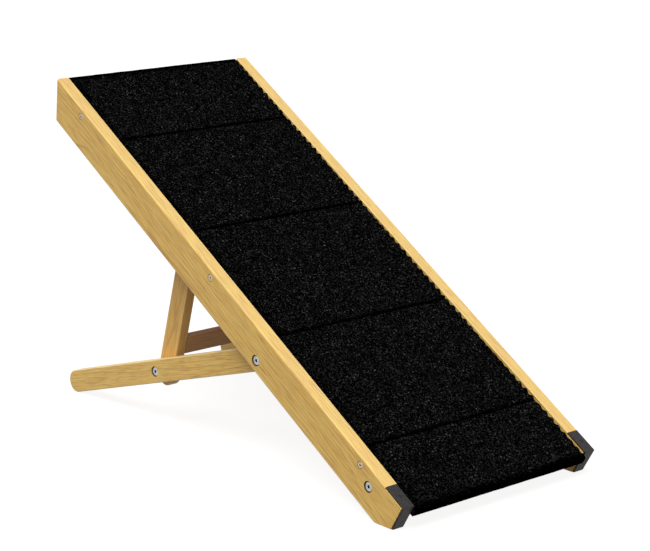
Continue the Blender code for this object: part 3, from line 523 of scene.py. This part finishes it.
board_wood = pine("birch_plywood", Matrix.Rotation(SLOPE, 4, "Y"), ON_RAMP @ Vector((0.0, 0.03, -0.26)),
                  ring=0.0040, waver=16.0, contrast=0.40, seed=4.0, colours=BARE_WOODS)
edge_paint, paint_tree, paint_shader = new_material("black_edge_paint", {
    "Roughness": 0.85, "Specular IOR Level": 0.1})
# Thin matt black paint on the board's ends, a little uneven, that hides the wood at the felt's bends.
paint_place = add_node(paint_tree, "TexCoord", {}).outputs["Object"]
paint_cloud = add_node(paint_tree, "TexNoise", {"Vector": paint_place, "Scale": 300.0, "Detail": 3.0})
paint_tone = add_node(paint_tree, "ValToRGB", {"Fac": paint_cloud.outputs["Fac"]},
                      stops=[(0.35, "#060606"), (0.75, "#161514")])
paint_tree.links.new(paint_tone.outputs["Color"], paint_shader.inputs["Base Color"])

board_top_end = -RAIL_LENGTH - BOARD_PAST_TOP
board = plank([(BOARD_PAST_LOW, -BOARD_UNDERSIDE), (BOARD_PAST_LOW, -BOARD_TOP),
               (board_top_end, -BOARD_TOP), (board_top_end, -BOARD_UNDERSIDE)],
              -BOARD_HALF_WIDTH, BOARD_HALF_WIDTH)
ease(board, BOARD_EASING, steps=3)
for end in (-PAINTED_END, PAINTED_END - RAIL_LENGTH):
    score(board, (end, 0, 0), (1, 0, 0))
holes = [screw_seat(side, up) for side in SIDES.values() for up in DECK_SCREWS.values()]
for node_name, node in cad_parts.items():
    if node_name.startswith("rack_screw"):
        screw_points = [ON_RAMP.inverted() @ vert.co for vert in node.data.vertices]
        screw_middle = sum(screw_points, Vector()) / len(screw_points)
        head = Matrix.Translation((screw_middle.x, screw_middle.y, -BOARD_TOP))
        holes.append(countersunk(SCREW_RADIUS + RACK_SEAT_GAP, RACK_SEAT_DEPTH, RACK_SCREW_HOLE,
                                 RACK_CONE_DEPTH, RACK_SCREW_LENGTH, head))
birch_board = add_piece("birch_board", board, board_wood, "ramp", "deck_board", ON_RAMP, holes)
birch_board.data.materials.append(edge_paint)
for face in birch_board.data.polygons:
    up = -(ON_RAMP.inverted() @ face.center).x
    face.material_index = 0 if PAINTED_END < up < RAIL_LENGTH - PAINTED_END else 1


# Carpet. Black needle felt of polypropylene, flecked with grey fibres, is glued on the deck in five
# lengths. The end lengths wrap the board's noses, and the long edges are cut and crimped in waves.

FELT_FACE = 0.0045                     # felt's face below the tops of the rails
FELT_UNDERSIDE = 0.0191                # and the face of its wraps under the board
FELT_THICKNESS = 0.0020
FELT_HALF_WIDTH = 0.1772
FELT_STEP = 0.0020                     # mesh of the felt, fine enough for the crimped edge
NOSE_REACHES = {"low": 0.0056, "top": 0.0040}   # felt past the ends of the rails
NOSE_CORNER = 0.0030
TOP_RAISE = 0.0020                     # felt swells over the top end's nose
TOP_RAISE_BAND = 0.050
WRAP_UP = 0.030
SEAMS = [0.1247, 0.3625, 0.6074, 0.8371]   # up the ramp
SEAM_HALF = 0.00005
SEAM_PRESS = 0.0011                    # felt pressed down along its cut ends
SEAM_BAND = 0.0048
WAVE_LENGTH = 0.0161
WAVE_DRIFT = 0.6                       # how unevenly the waves follow each other, in radians
WAVE_RISE = 0.0040                     # where the crimp is strongest; elsewhere it calms down
WAVE_PULL = 0.0013                     # how far a trough draws the edge in
WAVE_BAND = 0.0065                     # edge strip that the crimping lifts
CALM_LIFT = 0.0008
EDGE_LIFT = -0.0016                    # at the low end, and higher all the way up
LIFT_GAIN = 0.0026
FINE_LUMPS = 0.00022                   # unevenness of the pile, 4 mm and 22 mm across
BROAD_LUMPS = 0.00030
SMOOTH_BAND = 0.0110                   # felt stretched smooth above each nose
LEFT_FADE_BAND = 0.022                      # band along the left rail where the flecks fade
LEFT_FADE_LEVEL = 0.6
SOFT_EDGE = 0.0004

felt, felt_tree, felt_shader = new_material("needle_felt", {"Roughness": 0.95, "Specular IOR Level": 0.0})
# Needle felt: soot black, matt, with curled grey fibres scattered in loose clusters. The fibres are
# 0.05 mm thick, too fine to show, so they are drawn as flecks 1 to 3 mm long. The flecks fade where
# a vertex attribute falls: at the seams and over the noses, partly as felt pressed or stretched and
# partly as painted shade, and in a band along the left rail.
felt_place = add_node(felt_tree, "TexCoord", {}).outputs["Object"]
curl = add_node(felt_tree, "TexNoise", {"Vector": felt_place, "Scale": 240.0, "Detail": 1.0})
curled = add_node(felt_tree, "VectorMath", {
    0: curl.outputs["Color"], 1: (0.005, 0.005, 0.005), 2: felt_place}, operation="MULTIPLY_ADD")
fleck = add_node(felt_tree, "TexNoise", {
    "Vector": curled.outputs[0], "Scale": 360.0, "Detail": 2.0, "Roughness": 0.65})
cluster = add_node(felt_tree, "TexNoise", {"Vector": felt_place, "Scale": 70.0, "Detail": 2.0})
cluster_lift = add_node(felt_tree, "MapRange", {
    "Value": cluster.outputs["Fac"], "From Min": 0.3, "From Max": 0.7, "To Min": -0.025, "To Max": 0.025})
pile_and_shade = add_node(felt_tree, "Attribute", {}, attribute_name="pile_and_shade").outputs["Fac"]
fleck_fade = add_node(felt_tree, "MapRange", {"Value": pile_and_shade, "To Min": -0.13, "To Max": 0.0})
clustered = add_node(felt_tree, "Math", {0: fleck.outputs["Fac"], 1: cluster_lift.outputs[0]},
                     operation="ADD")
fleck_level = add_node(felt_tree, "Math", {0: clustered.outputs[0], 1: fleck_fade.outputs[0]},
                       operation="ADD")
felt_tone = add_node(felt_tree, "ValToRGB", {"Fac": fleck_level.outputs[0]}, stops=[
    (0.40, "#000000"), (0.48, "#040404"), (0.56, "#111111"), (0.66, "#2B2B2B"), (0.80, "#747474")])
tuft = add_node(felt_tree, "TexNoise", {"Vector": curled.outputs[0], "Scale": 900.0, "Detail": 2.0})
felt_bump = add_node(felt_tree, "Bump", {
    "Strength": 0.8, "Distance": 0.0008, "Height": tuft.outputs["Fac"]})
felt_tree.links.new(felt_tone.outputs["Color"], felt_shader.inputs["Base Color"])
felt_tree.links.new(felt_bump.outputs[0], felt_shader.inputs["Normal"])

corner_arc = pi / 2 * NOSE_CORNER
front_drop = FELT_UNDERSIDE - FELT_FACE - 2 * NOSE_CORNER


def clamped(value):
    """The value, kept between 0 and 1."""
    return min(max(value, 0.0), 1.0)


def step_up(value):
    """Smooth step from 0 to 1."""
    value = clamped(value)
    return value * value * (3 - 2 * value)


def felt_place_of(start, along, reach):
    """Point and outward direction (up, drop) on the felt's face, this far down from its upper edge."""
    nose_start = NOSE_CORNER - reach   # where the deck's flat ends, up the ramp from the rails' low end
    along -= start - nose_start
    if along <= 0:
        return (nose_start - along, FELT_FACE), (0.0, -1.0)
    if along <= corner_arc:
        out = (-sin(along / NOSE_CORNER), -cos(along / NOSE_CORNER))
        return (nose_start + NOSE_CORNER * out[0], FELT_FACE + NOSE_CORNER + NOSE_CORNER * out[1]), out
    along -= corner_arc
    if along <= front_drop:
        return (-reach, FELT_FACE + NOSE_CORNER + along), (-1.0, 0.0)
    along -= front_drop
    if along <= corner_arc:
        out = (-cos(along / NOSE_CORNER), sin(along / NOSE_CORNER))
        return (nose_start + NOSE_CORNER * out[0], FELT_UNDERSIDE - NOSE_CORNER + NOSE_CORNER * out[1]), out
    return (nose_start + along - corner_arc, FELT_UNDERSIDE), (0.0, 1.0)


def add_felt(which, start, length, reach=0.0, mirrored=False):
    """One length of felt: cut flat, laid from its upper edge, and bent round a nose if it reaches one."""
    shape = bmesh.new()
    wraps = reach > 0
    width = 2 * FELT_HALF_WIDTH
    step = FELT_STEP / 2 if wraps else FELT_STEP
    bmesh.ops.create_grid(shape, x_segments=round(length / step), y_segments=round(width / FELT_STEP),
                          size=0.5)
    pile_and_shade_layer = shape.verts.layers.float.new("pile_and_shade")
    for vert in shape.verts:
        along = (vert.co.x + 0.5) * length
        across = vert.co.y * width
        (up, drop), out = felt_place_of(start, along, reach)
        spot = Vector((along, across, start))
        up_share = (RAIL_LENGTH - up if mirrored else up) / RAIL_LENGTH
        to_nose = start - NOSE_CORNER + reach - along if wraps else length
        stretched = step_up(to_nose / SMOOTH_BAND)
        swell = step_up(1 - to_nose / TOP_RAISE_BAND) if mirrored else 0.0
        seam_distance = along if wraps else min(along, length - along)
        pressed = 1 - step_up(seam_distance / SEAM_BAND)
        lump = FINE_LUMPS * noise.noise(spot * 240) + BROAD_LUMPS * noise.noise(spot * 45)

        # The crimped edge: uneven waves, with calm stretches about 60 mm long.
        crimped = stretched * step_up((abs(across) - FELT_HALF_WIDTH + WAVE_BAND) / WAVE_BAND)
        drift = WAVE_DRIFT * noise.noise(Vector((along * 25, across * 3, start * 9)))
        wave = 0.5 + 0.5 * cos(2 * pi * along / WAVE_LENGTH + drift + 9 * start)
        calm = clamped(0.5 + 0.9 * noise.noise(Vector((along * 17, across * 2, start * 31))))
        height = WAVE_RISE * (1.15 - 0.85 * calm) * (1 + 0.5 * noise.noise(spot * 25))
        rise = lump + crimped * (EDGE_LIFT + LIFT_GAIN * up_share + CALM_LIFT * calm + wave * height)
        rise -= pressed * SEAM_PRESS + 0.5 * swell * max(rise - lump, 0.0)
        across -= (1 if across > 0 else -1) * crimped * (1 - wave) * (1 - calm) * WAVE_PULL

        drop -= swell * TOP_RAISE * (FELT_UNDERSIDE - drop) / (FELT_UNDERSIDE - FELT_FACE)
        up, drop = up + rise * out[0], drop + rise * out[1]
        vert.co = (-up, across, -drop)
        left_fade = LEFT_FADE_LEVEL + (1 - LEFT_FADE_LEVEL) * step_up((across + FELT_HALF_WIDTH) / LEFT_FADE_BAND)
        # The flecks fade at the seams and over the noses, partly felt pressed or stretched and partly painted
        # shade, and along the left rail.
        vert[pile_and_shade_layer] = min(stretched, 1 - pressed, left_fade)
    if mirrored:
        turned = Matrix.Translation((-RAIL_LENGTH, 0, 0)) @ Matrix.Scale(-1, 4, (1, 0, 0))
        bmesh.ops.transform(shape, matrix=turned, verts=shape.verts)
    bmesh.ops.recalc_face_normals(shape, faces=shape.faces)
    top_face = max(shape.faces, key=lambda face: face.calc_center_median().z)
    if top_face.normal.z < 0:
        bmesh.ops.reverse_faces(shape, faces=shape.faces)
    bmesh.ops.transform(shape, matrix=ON_RAMP, verts=shape.verts)
    mesh = bpy.data.meshes.new(f"felt_{which}")
    shape.to_mesh(mesh)
    shape.free()
    mesh.materials.append(felt)
    mesh.shade_smooth()
    piece = bpy.data.objects.new(f"felt_{which}", mesh)
    scene.collection.objects.link(piece)
    body = piece.modifiers.new("felt_body", "SOLIDIFY")
    body.thickness = FELT_THICKNESS
    body.offset = -1.0
    soft_edge = piece.modifiers.new("soft_edge", "BEVEL")
    soft_edge.width = SOFT_EDGE
    soft_edge.segments = 2
    soft_edge.limit_method = "ANGLE"
    soft_edge.angle_limit = radians(55)
    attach(piece, "ramp")
    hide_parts(f"carpet_{which}")


for which, seam in {"low": SEAMS[0], "top": RAIL_LENGTH - SEAMS[3]}.items():
    reach = NOSE_REACHES[which]
    start = seam - SEAM_HALF
    length = start + 2 * (reach - NOSE_CORNER) + 2 * corner_arc + front_drop + WRAP_UP
    add_felt(which, start, length, reach, mirrored=which == "top")
for which, lower, upper in zip(("lower", "middle", "upper"), SEAMS, SEAMS[1:]):
    add_felt(which, upper - SEAM_HALF, upper - lower - 2 * SEAM_HALF)


# Rack strips and low stretcher. The notched strips and the stretcher are sanded pine with no
# lacquer. The strips are screwed to the board from above, and bolts draw the rails to the stretcher.

BAR_GRAIN_TURN = radians(1)            # how far the grain of the small bars runs off their length
strip_wood = pine("sanded_pine_strip", Matrix.Rotation(SLOPE + BAR_GRAIN_TURN, 4, "Y"),
                  ON_RAMP @ Vector((0.0, 0.03, 0.05)),
                  ring=0.0028, waver=6.0, contrast=0.55, seed=7.0, colours=BARE_WOODS)
cross_grain = Matrix.Rotation(pi / 2 + BAR_GRAIN_TURN, 4, "Z")
cross_wood = pine("sanded_pine_cross", cross_grain, Vector((0.30, 0.0, 0.02)),
                  ring=0.0028, waver=6.0, contrast=0.55, seed=11.0, colours=BARE_WOODS)


def dress(node_name, material):
    """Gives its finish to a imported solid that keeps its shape."""
    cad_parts[node_name].material_slots[0].material = material


dress("rack_strip_left", strip_wood)
dress("rack_strip_right", strip_wood)
dress("low_stretcher", cross_wood)


# Legs and tie bar. Two pine legs with full-round ends turn on bolts inside the rails, and a flat
# bar tenoned between them keeps them square. The wood is plain sawn, so its figure waves and loops.

LEG_PIVOT = (0.108574, 0.0, 0.181515)
LEG_TILT = radians(16.974)
ON_LEGS = Matrix.Translation(LEG_PIVOT) @ Matrix.Rotation(-LEG_TILT, 4, "Y")   # -X along the leg
LEG_LENGTH = 0.556
LEG_WIDTH = 0.0384
LEG_FACE = 0.1760
LEG_INSIDE = 0.1545
LEG_EASING = 0.0018
PROP_BOLT = -0.310
TENON_WIDTH = 0.0256
TENON_THICKNESS = 0.0076
TENON_DEPTH = 0.0103
TIE_BAR_X = -0.0455
LEG_GRAIN_RISE = radians(2.2)
LEG_GRAIN_TURN = radians(1.2)
LEG_HEARTS = {"left": (-0.25, -0.150, -0.018), "right": (-0.3, 0.152, 0.022)}
RED_SHADED_WOODS = ("#D6A564", "#C7914D", "#9C5F2C", "#A1662F")   # redder wood, darker as painted shade, for the bars under the deck


def round_ended(start, end, width, low_y, high_y, easing):
    """Bar with full-round ends; its middle line runs along X from start to end."""
    radius = width / 2
    shape = plank([(start - radius, -radius), (end + radius, -radius), (end + radius, radius),
                   (start - radius, radius)], low_y, high_y)
    corners = [edge for edge in shape.edges if abs(edge.verts[0].co.y - edge.verts[1].co.y) > 1e-4]
    bmesh.ops.bevel(shape, geom=corners, offset=radius, segments=20, profile=0.5, affect="EDGES",
                    material=-1)
    bmesh.ops.remove_doubles(shape, verts=shape.verts, dist=1e-5)
    bmesh.ops.dissolve_degenerate(shape, edges=shape.edges, dist=1e-5)
    ease(shape, easing)
    return shape


def block(x, y, z, size):
    """Square-cornered cutter, such as a mortise."""
    shape = bmesh.new()
    place = Matrix.Translation((x, y, z)) @ Matrix.Diagonal((*size, 1.0))
    bmesh.ops.create_cube(shape, size=1.0, matrix=place)
    return shape


for side_name, side in SIDES.items():
    low_y, high_y = sorted((side * LEG_FACE, side * LEG_INSIDE))
    leg = round_ended(-LEG_LENGTH, 0.0, LEG_WIDTH, low_y, high_y, LEG_EASING)
    holes = [bolt_seat(side, PROP_BOLT, LEG_FACE, 0.0),
             drilled(SHANK_RADIUS + FIT, BOLT_BORE, outward(side, 0.0, LEG_FACE, 0.0)),
             block(TIE_BAR_X, side * LEG_INSIDE, 0.0, (TENON_WIDTH, 2 * TENON_DEPTH, TENON_THICKNESS))]
    grain = (Matrix.Rotation(-LEG_TILT + LEG_GRAIN_RISE, 4, "Y")
             @ Matrix.Rotation(side * LEG_GRAIN_TURN, 4, "Z"))
    wood = pine(f"lacquered_pine_leg_{side_name}", grain, ON_LEGS @ Vector(LEG_HEARTS[side_name]),
                ring=0.0046, waver=17.0, contrast=0.75, seed=side * 3.0)
    add_piece(f"{side_name}_leg", leg, wood, "legs", f"leg_{side_name}", ON_LEGS, holes)
# The bars under the deck get the redder, darker wood, its darkness painted shade.
shaded_bar_wood = pine("lacquered_pine_bar_shaded", cross_grain, Vector((-0.06, 0.0, 0.24)),
                ring=0.0030, waver=7.0, contrast=0.55, seed=5.0, colours=RED_SHADED_WOODS)
dress("leg_tie_bar", shaded_bar_wood)


# Prop frame. Two pine uprights with full-round ends, a flat crossbar tenoned low between them, and
# a dowel in their tops that stands in the rack under the deck.

PROP_PIVOT = (-0.187922, 0.0, 0.091015)
PROP_LEAN = radians(16.0)
ON_PROP = Matrix.Translation(PROP_PIVOT) @ Matrix.Rotation(PROP_LEAN, 4, "Y")   # Z up the uprights
PROP_LENGTH = 0.224446
PROP_FOOT = 0.0097
PROP_WIDTH = 0.0385
PROP_FACE = 0.1530
PROP_INSIDE = 0.1350
PROP_EASING = 0.0015
CROSSBAR_X = 0.01275
CROSSBAR_Z = 0.0515
DOWEL_RADIUS = 0.0080
DOWEL_SOCKET = 0.012                   # blind hole in the upright
DOWEL_EDGE = 0.0008
UPRIGHT_WOODS = ("#F6CC70", "#E5B055", "#B06E2A", "#B97A34")
UPRIGHT_HEARTS = {"left": (0.0, -0.10, 0.05), "right": (0.0, 0.22, 0.03)}

stand_up = Matrix.Rotation(-pi / 2, 4, "Y")   # turns a bar made along X to run along Z
for side_name, side in SIDES.items():
    low_y, high_y = sorted((side * PROP_FACE, side * PROP_INSIDE))
    upright = round_ended(-PROP_FOOT, PROP_LENGTH, PROP_WIDTH, low_y, high_y, PROP_EASING)
    bmesh.ops.transform(upright, matrix=stand_up, verts=upright.verts)
    holes = [drilled(SHANK_RADIUS + FIT, BOLT_BORE, outward(side, 0.0, PROP_FACE, 0.0)),
             drilled(DOWEL_RADIUS + FIT, DOWEL_SOCKET, outward(-side, 0.0, -PROP_INSIDE, PROP_LENGTH), 48),
             block(CROSSBAR_X, side * PROP_INSIDE, CROSSBAR_Z,
                   (TENON_THICKNESS, 2 * TENON_DEPTH, TENON_WIDTH))]
    grain = Matrix.Rotation(PROP_LEAN - pi / 2 + BAR_GRAIN_TURN, 4, "Y")
    wood = pine(f"lacquered_pine_upright_{side_name}", grain, ON_PROP @ Vector(UPRIGHT_HEARTS[side_name]),
                ring=0.0032, waver=8.0, contrast=0.60, seed=side * 5.0, colours=UPRIGHT_WOODS)
    add_piece(f"{side_name}_upright", upright, wood, "prop", f"prop_upright_{side_name}",
              ON_PROP, holes)
dress("prop_crossbar", shaded_bar_wood)
dowel_half = PROP_INSIDE + DOWEL_SOCKET - FIT
dowel_profile = [(0.0, dowel_half), (DOWEL_RADIUS - DOWEL_EDGE, dowel_half),
                 (DOWEL_RADIUS, dowel_half - DOWEL_EDGE), (DOWEL_RADIUS, DOWEL_EDGE - dowel_half),
                 (DOWEL_RADIUS - DOWEL_EDGE, -dowel_half), (0.0, -dowel_half)]
add_piece("top_dowel", lathe(dowel_profile, outward(1, 0.0, 0.0, PROP_LENGTH), 64), shaded_bar_wood, "prop",
          "prop_top_bar", ON_PROP)


# Bolts. They are headed steel with bright zinc plating, and each has a flat head with a hexagon
# socket, sunk in a seat in the wood. Two turn the legs, two turn the prop, and two draw the low
# stretcher tight. The plating is also that of the washers, nuts and screws.

# painted shade: black deep in the driving sockets
SOCKET_SHADE_BLACK = "#151413"
SOCKET_SHADE_FADE = 0.0008
SOCKET_SHADE_REACH = 0.0036                    # from the axis, and down from the wood's face
SINK = 0.0012                          # bolt head below the wood
HEAD_ROUND = [(0.0010, 0.0), (0.0003, 0.0003), (0.0, 0.0008)]   # in from the head's rim, down its side
TIP_CHAMFER = 0.0005
HEX_FLATS = 0.0050
HEX_DEPTH = 0.0018
HEX_ENTRY = 0.0004                     # chamfer round the socket
BOLTS = {                              # body, its place, x, z, face and length
    "leg_bolt": ("ramp", ON_RAMP, *LEG_BOLT, RAIL_FACE, 0.0515),
    "stretcher_bolt": ("ramp", ON_RAMP, *LOW_BOLT, RAIL_FACE, 0.0572),
    "prop_bolt": ("legs", ON_LEGS, PROP_BOLT, 0.0, LEG_FACE, 0.0470),
}


def plated(name, tones, shade_from):
    """Plated steel. tones are its dark and light patches; the last argument is the height below which a
    socket is painted black as shade.
    """
    material, tree, shader = new_material(name, {"Metallic": 1.0, "Roughness": 0.30})
    # Zinc plate: satin and cloudy, with faint turning rings. What lies deep in a driving socket is painted
    # black as shade. "turned_place" is a point's place about its piece's own axis.
    place = add_node(tree, "Attribute", {}, attribute_name="turned_place").outputs["Vector"]
    turning = add_node(tree, "TexWave", {
        "Vector": place, "Scale": 900.0, "Distortion": 1.5, "Detail": 1.0},
        wave_type="RINGS", rings_direction="Z", wave_profile="SIN")
    world_place = add_node(tree, "TexCoord", {}).outputs["Object"]
    cloud = add_node(tree, "TexNoise", {"Vector": world_place, "Scale": 420.0, "Detail": 3.0})
    tone = add_node(tree, "ValToRGB", {"Fac": cloud.outputs["Fac"]},
                    stops=[(0.35, tones[0]), (0.70, tones[1])])
    height = add_node(tree, "SeparateXYZ", {0: place}).outputs["Z"]
    sunk_in = add_node(tree, "MapRange", {
        "Value": height, "From Min": shade_from, "From Max": shade_from - SOCKET_SHADE_FADE, "To Max": 0.93})
    not_shank = add_node(tree, "Math", {0: height, 1: -SOCKET_SHADE_REACH}, operation="GREATER_THAN")
    off_axis = add_node(tree, "VectorMath", {0: place, 1: (1.0, 1.0, 0.0)}, operation="MULTIPLY")
    radius_out = add_node(tree, "VectorMath", {0: off_axis.outputs[0]}, operation="LENGTH")
    in_socket = add_node(tree, "Math", {0: radius_out.outputs["Value"], 1: SOCKET_SHADE_REACH},
                         operation="LESS_THAN")
    # Painted shade: black deep in the socket, but not down the shank.
    deep_in_head = add_node(tree, "Math", {0: sunk_in.outputs[0], 1: not_shank.outputs[0]}, operation="MULTIPLY")
    socket_shade = add_node(tree, "Math", {0: deep_in_head.outputs[0], 1: in_socket.outputs[0]}, operation="MULTIPLY")
    colour = add_node(tree, "Mix", {
        0: socket_shade.outputs[0], 6: tone.outputs["Color"], 7: linear(SOCKET_SHADE_BLACK)}, data_type="RGBA")
    bump = add_node(tree, "Bump", {
        "Strength": 0.12, "Distance": 0.0001, "Height": turning.outputs["Fac"]})
    gloss = add_node(tree, "MapRange", {"Value": cloud.outputs["Fac"], "To Min": 0.24, "To Max": 0.42})
    tree.links.new(colour.outputs[2], shader.inputs["Base Color"])
    tree.links.new(gloss.outputs[0], shader.inputs["Roughness"])
    tree.links.new(bump.outputs[0], shader.inputs["Normal"])
    return material


zinc = plated("bright_zinc_plate", ("#9DA0A0", "#C3C5C4"), shade_from=-0.0014)


def add_fixing(node, shape, body, place, cutters=(), trims=(), material=zinc):
    """Plated steel piece with what is pressed or drilled into it, and the marks that its plating reads."""
    piece = add_piece(f"{node}_plated", shape, material, body, node, place, cutters, trims)
    marks = piece.data.attributes.new("turned_place", "FLOAT_VECTOR", "POINT")
    for mark, vert in zip(marks.data, piece.data.vertices):
        mark.vector = place.inverted() @ vert.co


def hexagon(corner, depth):
    """Hexagonal bar round Z, given the radius of its corners."""
    shape = bmesh.new()
    bmesh.ops.create_cone(shape, cap_ends=True, segments=6, radius1=corner, radius2=corner, depth=depth)
    return shape


hex_corner = HEX_FLATS / 2 / cos(pi / 6)
hex_entry = [(0.0, 0.0), (hex_corner + SINK, 0.0), (HEX_FLATS / 2, -SINK - HEX_ENTRY),
             (0.0, -SINK - HEX_ENTRY)]
for bolt_name, (body, frame_place, x, z, face, length) in BOLTS.items():
    profile = [(0.0, -SINK)] + [(HEAD_RADIUS - inward, -SINK - down) for inward, down in HEAD_ROUND]
    profile += [(HEAD_RADIUS, -HEAD_DEPTH), (SHANK_RADIUS, -HEAD_DEPTH), (SHANK_RADIUS, TIP_CHAMFER - length),
                (SHANK_RADIUS - TIP_CHAMFER, -length), (0.0, -length)]
    for side_name, side in SIDES.items():
        socket = [hexagon(hex_corner, 2 * (SINK + HEX_DEPTH)), lathe(hex_entry, steps=36)]
        add_fixing(f"{bolt_name}_{side_name}", lathe(profile), body,
                   frame_place @ outward(side, x, face, z), socket)


# Deck screws. Six countersunk screws of yellow zinc plated steel go through the rails into the
# board's edges, three a side. Their cross recesses stand a little turned, as they happened to stop.

SCREW_SINK = 0.0002
SCREW_ROUND = 0.0004
SCREW_RIM = 0.0005                     # below the wood's face
SCREW_SHANK = 0.0020
SCREW_LENGTH = 0.040
SCREW_POINT = 0.004
CROSS_SPAN = 0.0066
CROSS_SLOT = 0.0015
CROSS_DEPTH = 0.0023
CROSS_FLOOR = (0.35, 0.6, 1.0)         # how the recess narrows to its floor
CROSS_TURN = 0.4                       # radians

yellow_zinc = plated("yellow_zinc_plate", ("#97866C", "#D6C7A8"), shade_from=-0.0006)
# Yellow zinc plate: warm grey with straw patches, and less bright than the bolts.

screw_profile = [(0.0, -SCREW_SINK), (SCREW_RADIUS - SCREW_ROUND, -SCREW_SINK), (SCREW_RADIUS, -SCREW_RIM),
                 (SCREW_SHANK, -SCREW_DEPTH), (SCREW_SHANK, SCREW_POINT - SCREW_LENGTH), (0.0, -SCREW_LENGTH)]
for screw_name, up in DECK_SCREWS.items():
    for side_name, side in SIDES.items():
        cross = []
        for turn in (CROSS_TURN, CROSS_TURN + pi / 2):
            wing = block(0.0, 0.0, 0.0, (CROSS_SPAN, CROSS_SLOT, 2 * CROSS_DEPTH))
            bottom = [vert for vert in wing.verts if vert.co.z < 0]
            bmesh.ops.scale(wing, verts=bottom, vec=CROSS_FLOOR)
            bmesh.ops.rotate(wing, verts=wing.verts, matrix=Matrix.Rotation(turn, 3, "Z"))
            cross.append(wing)
        add_fixing(f"deck_screw_{screw_name}_{side_name}", lathe(screw_profile, steps=32), "ramp",
                   ON_RAMP @ outward(side, -up, RAIL_FACE, -SCREW_DROP), cross, material=yellow_zinc)


# Washers and nuts. A flat washer keeps rail from leg and leg from upright, and a hexagon nut ends
# each of those four bolts. The barrel nuts in the low stretcher and the rack strips' screws keep
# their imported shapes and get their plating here.

WASHER_RADIUS = 0.0090
WASHER_THICKNESS = 0.0009
WASHER_CHAMFER = 0.0002
WASHER_GAP = 0.0002
NUT_FLATS = 0.0100
NUT_THICKNESS = 0.0050
NUT_CHAMFER = 0.0005
NUT_GAP = 0.0001
NUT_STOCK = 0.03                       # hexagonal bar, longer than a nut
JOINTS = {                             # body, its place, x, z, faces of washer and nut
    "leg": ("ramp", ON_RAMP, *LEG_BOLT, RAIL_INSIDE - FIT, LEG_INSIDE - FIT),
    "prop": ("legs", ON_LEGS, PROP_BOLT, 0.0, LEG_INSIDE - FIT, PROP_INSIDE - FIT),
}

nut_corner = NUT_FLATS / 2 / cos(pi / 6)
nut_bore = SHANK_RADIUS + NUT_GAP
washer_bore = SHANK_RADIUS + WASHER_GAP
washer_profile = [(washer_bore, 0.0), (WASHER_RADIUS - WASHER_CHAMFER, 0.0),
                  (WASHER_RADIUS, -WASHER_CHAMFER), (WASHER_RADIUS, WASHER_CHAMFER - WASHER_THICKNESS),
                  (WASHER_RADIUS - WASHER_CHAMFER, -WASHER_THICKNESS), (washer_bore, -WASHER_THICKNESS)]
nut_profile = [(nut_bore + NUT_CHAMFER, 0.0), (NUT_FLATS / 2, 0.0), (nut_corner, -NUT_CHAMFER),
               (nut_corner, NUT_CHAMFER - NUT_THICKNESS), (NUT_FLATS / 2, -NUT_THICKNESS),
               (nut_bore + NUT_CHAMFER, -NUT_THICKNESS), (nut_bore, NUT_CHAMFER - NUT_THICKNESS),
               (nut_bore, -NUT_CHAMFER)]
for joint_name, (body, frame_place, x, z, washer_face, nut_face) in JOINTS.items():
    for side_name, side in SIDES.items():
        add_fixing(f"{joint_name}_washer_{side_name}", lathe(washer_profile, ring=True), body,
                   frame_place @ outward(side, x, washer_face, z))
        add_fixing(f"{joint_name}_nut_{side_name}", lathe(nut_profile, steps=72, ring=True), body,
                   frame_place @ outward(side, x, nut_face, z), trims=[hexagon(nut_corner, NUT_STOCK)])
for side_name in SIDES:
    dress(f"barrel_nut_{side_name}", zinc)
    dress(f"rack_screw_low_{side_name}", yellow_zinc)
    dress(f"rack_screw_high_{side_name}", yellow_zinc)
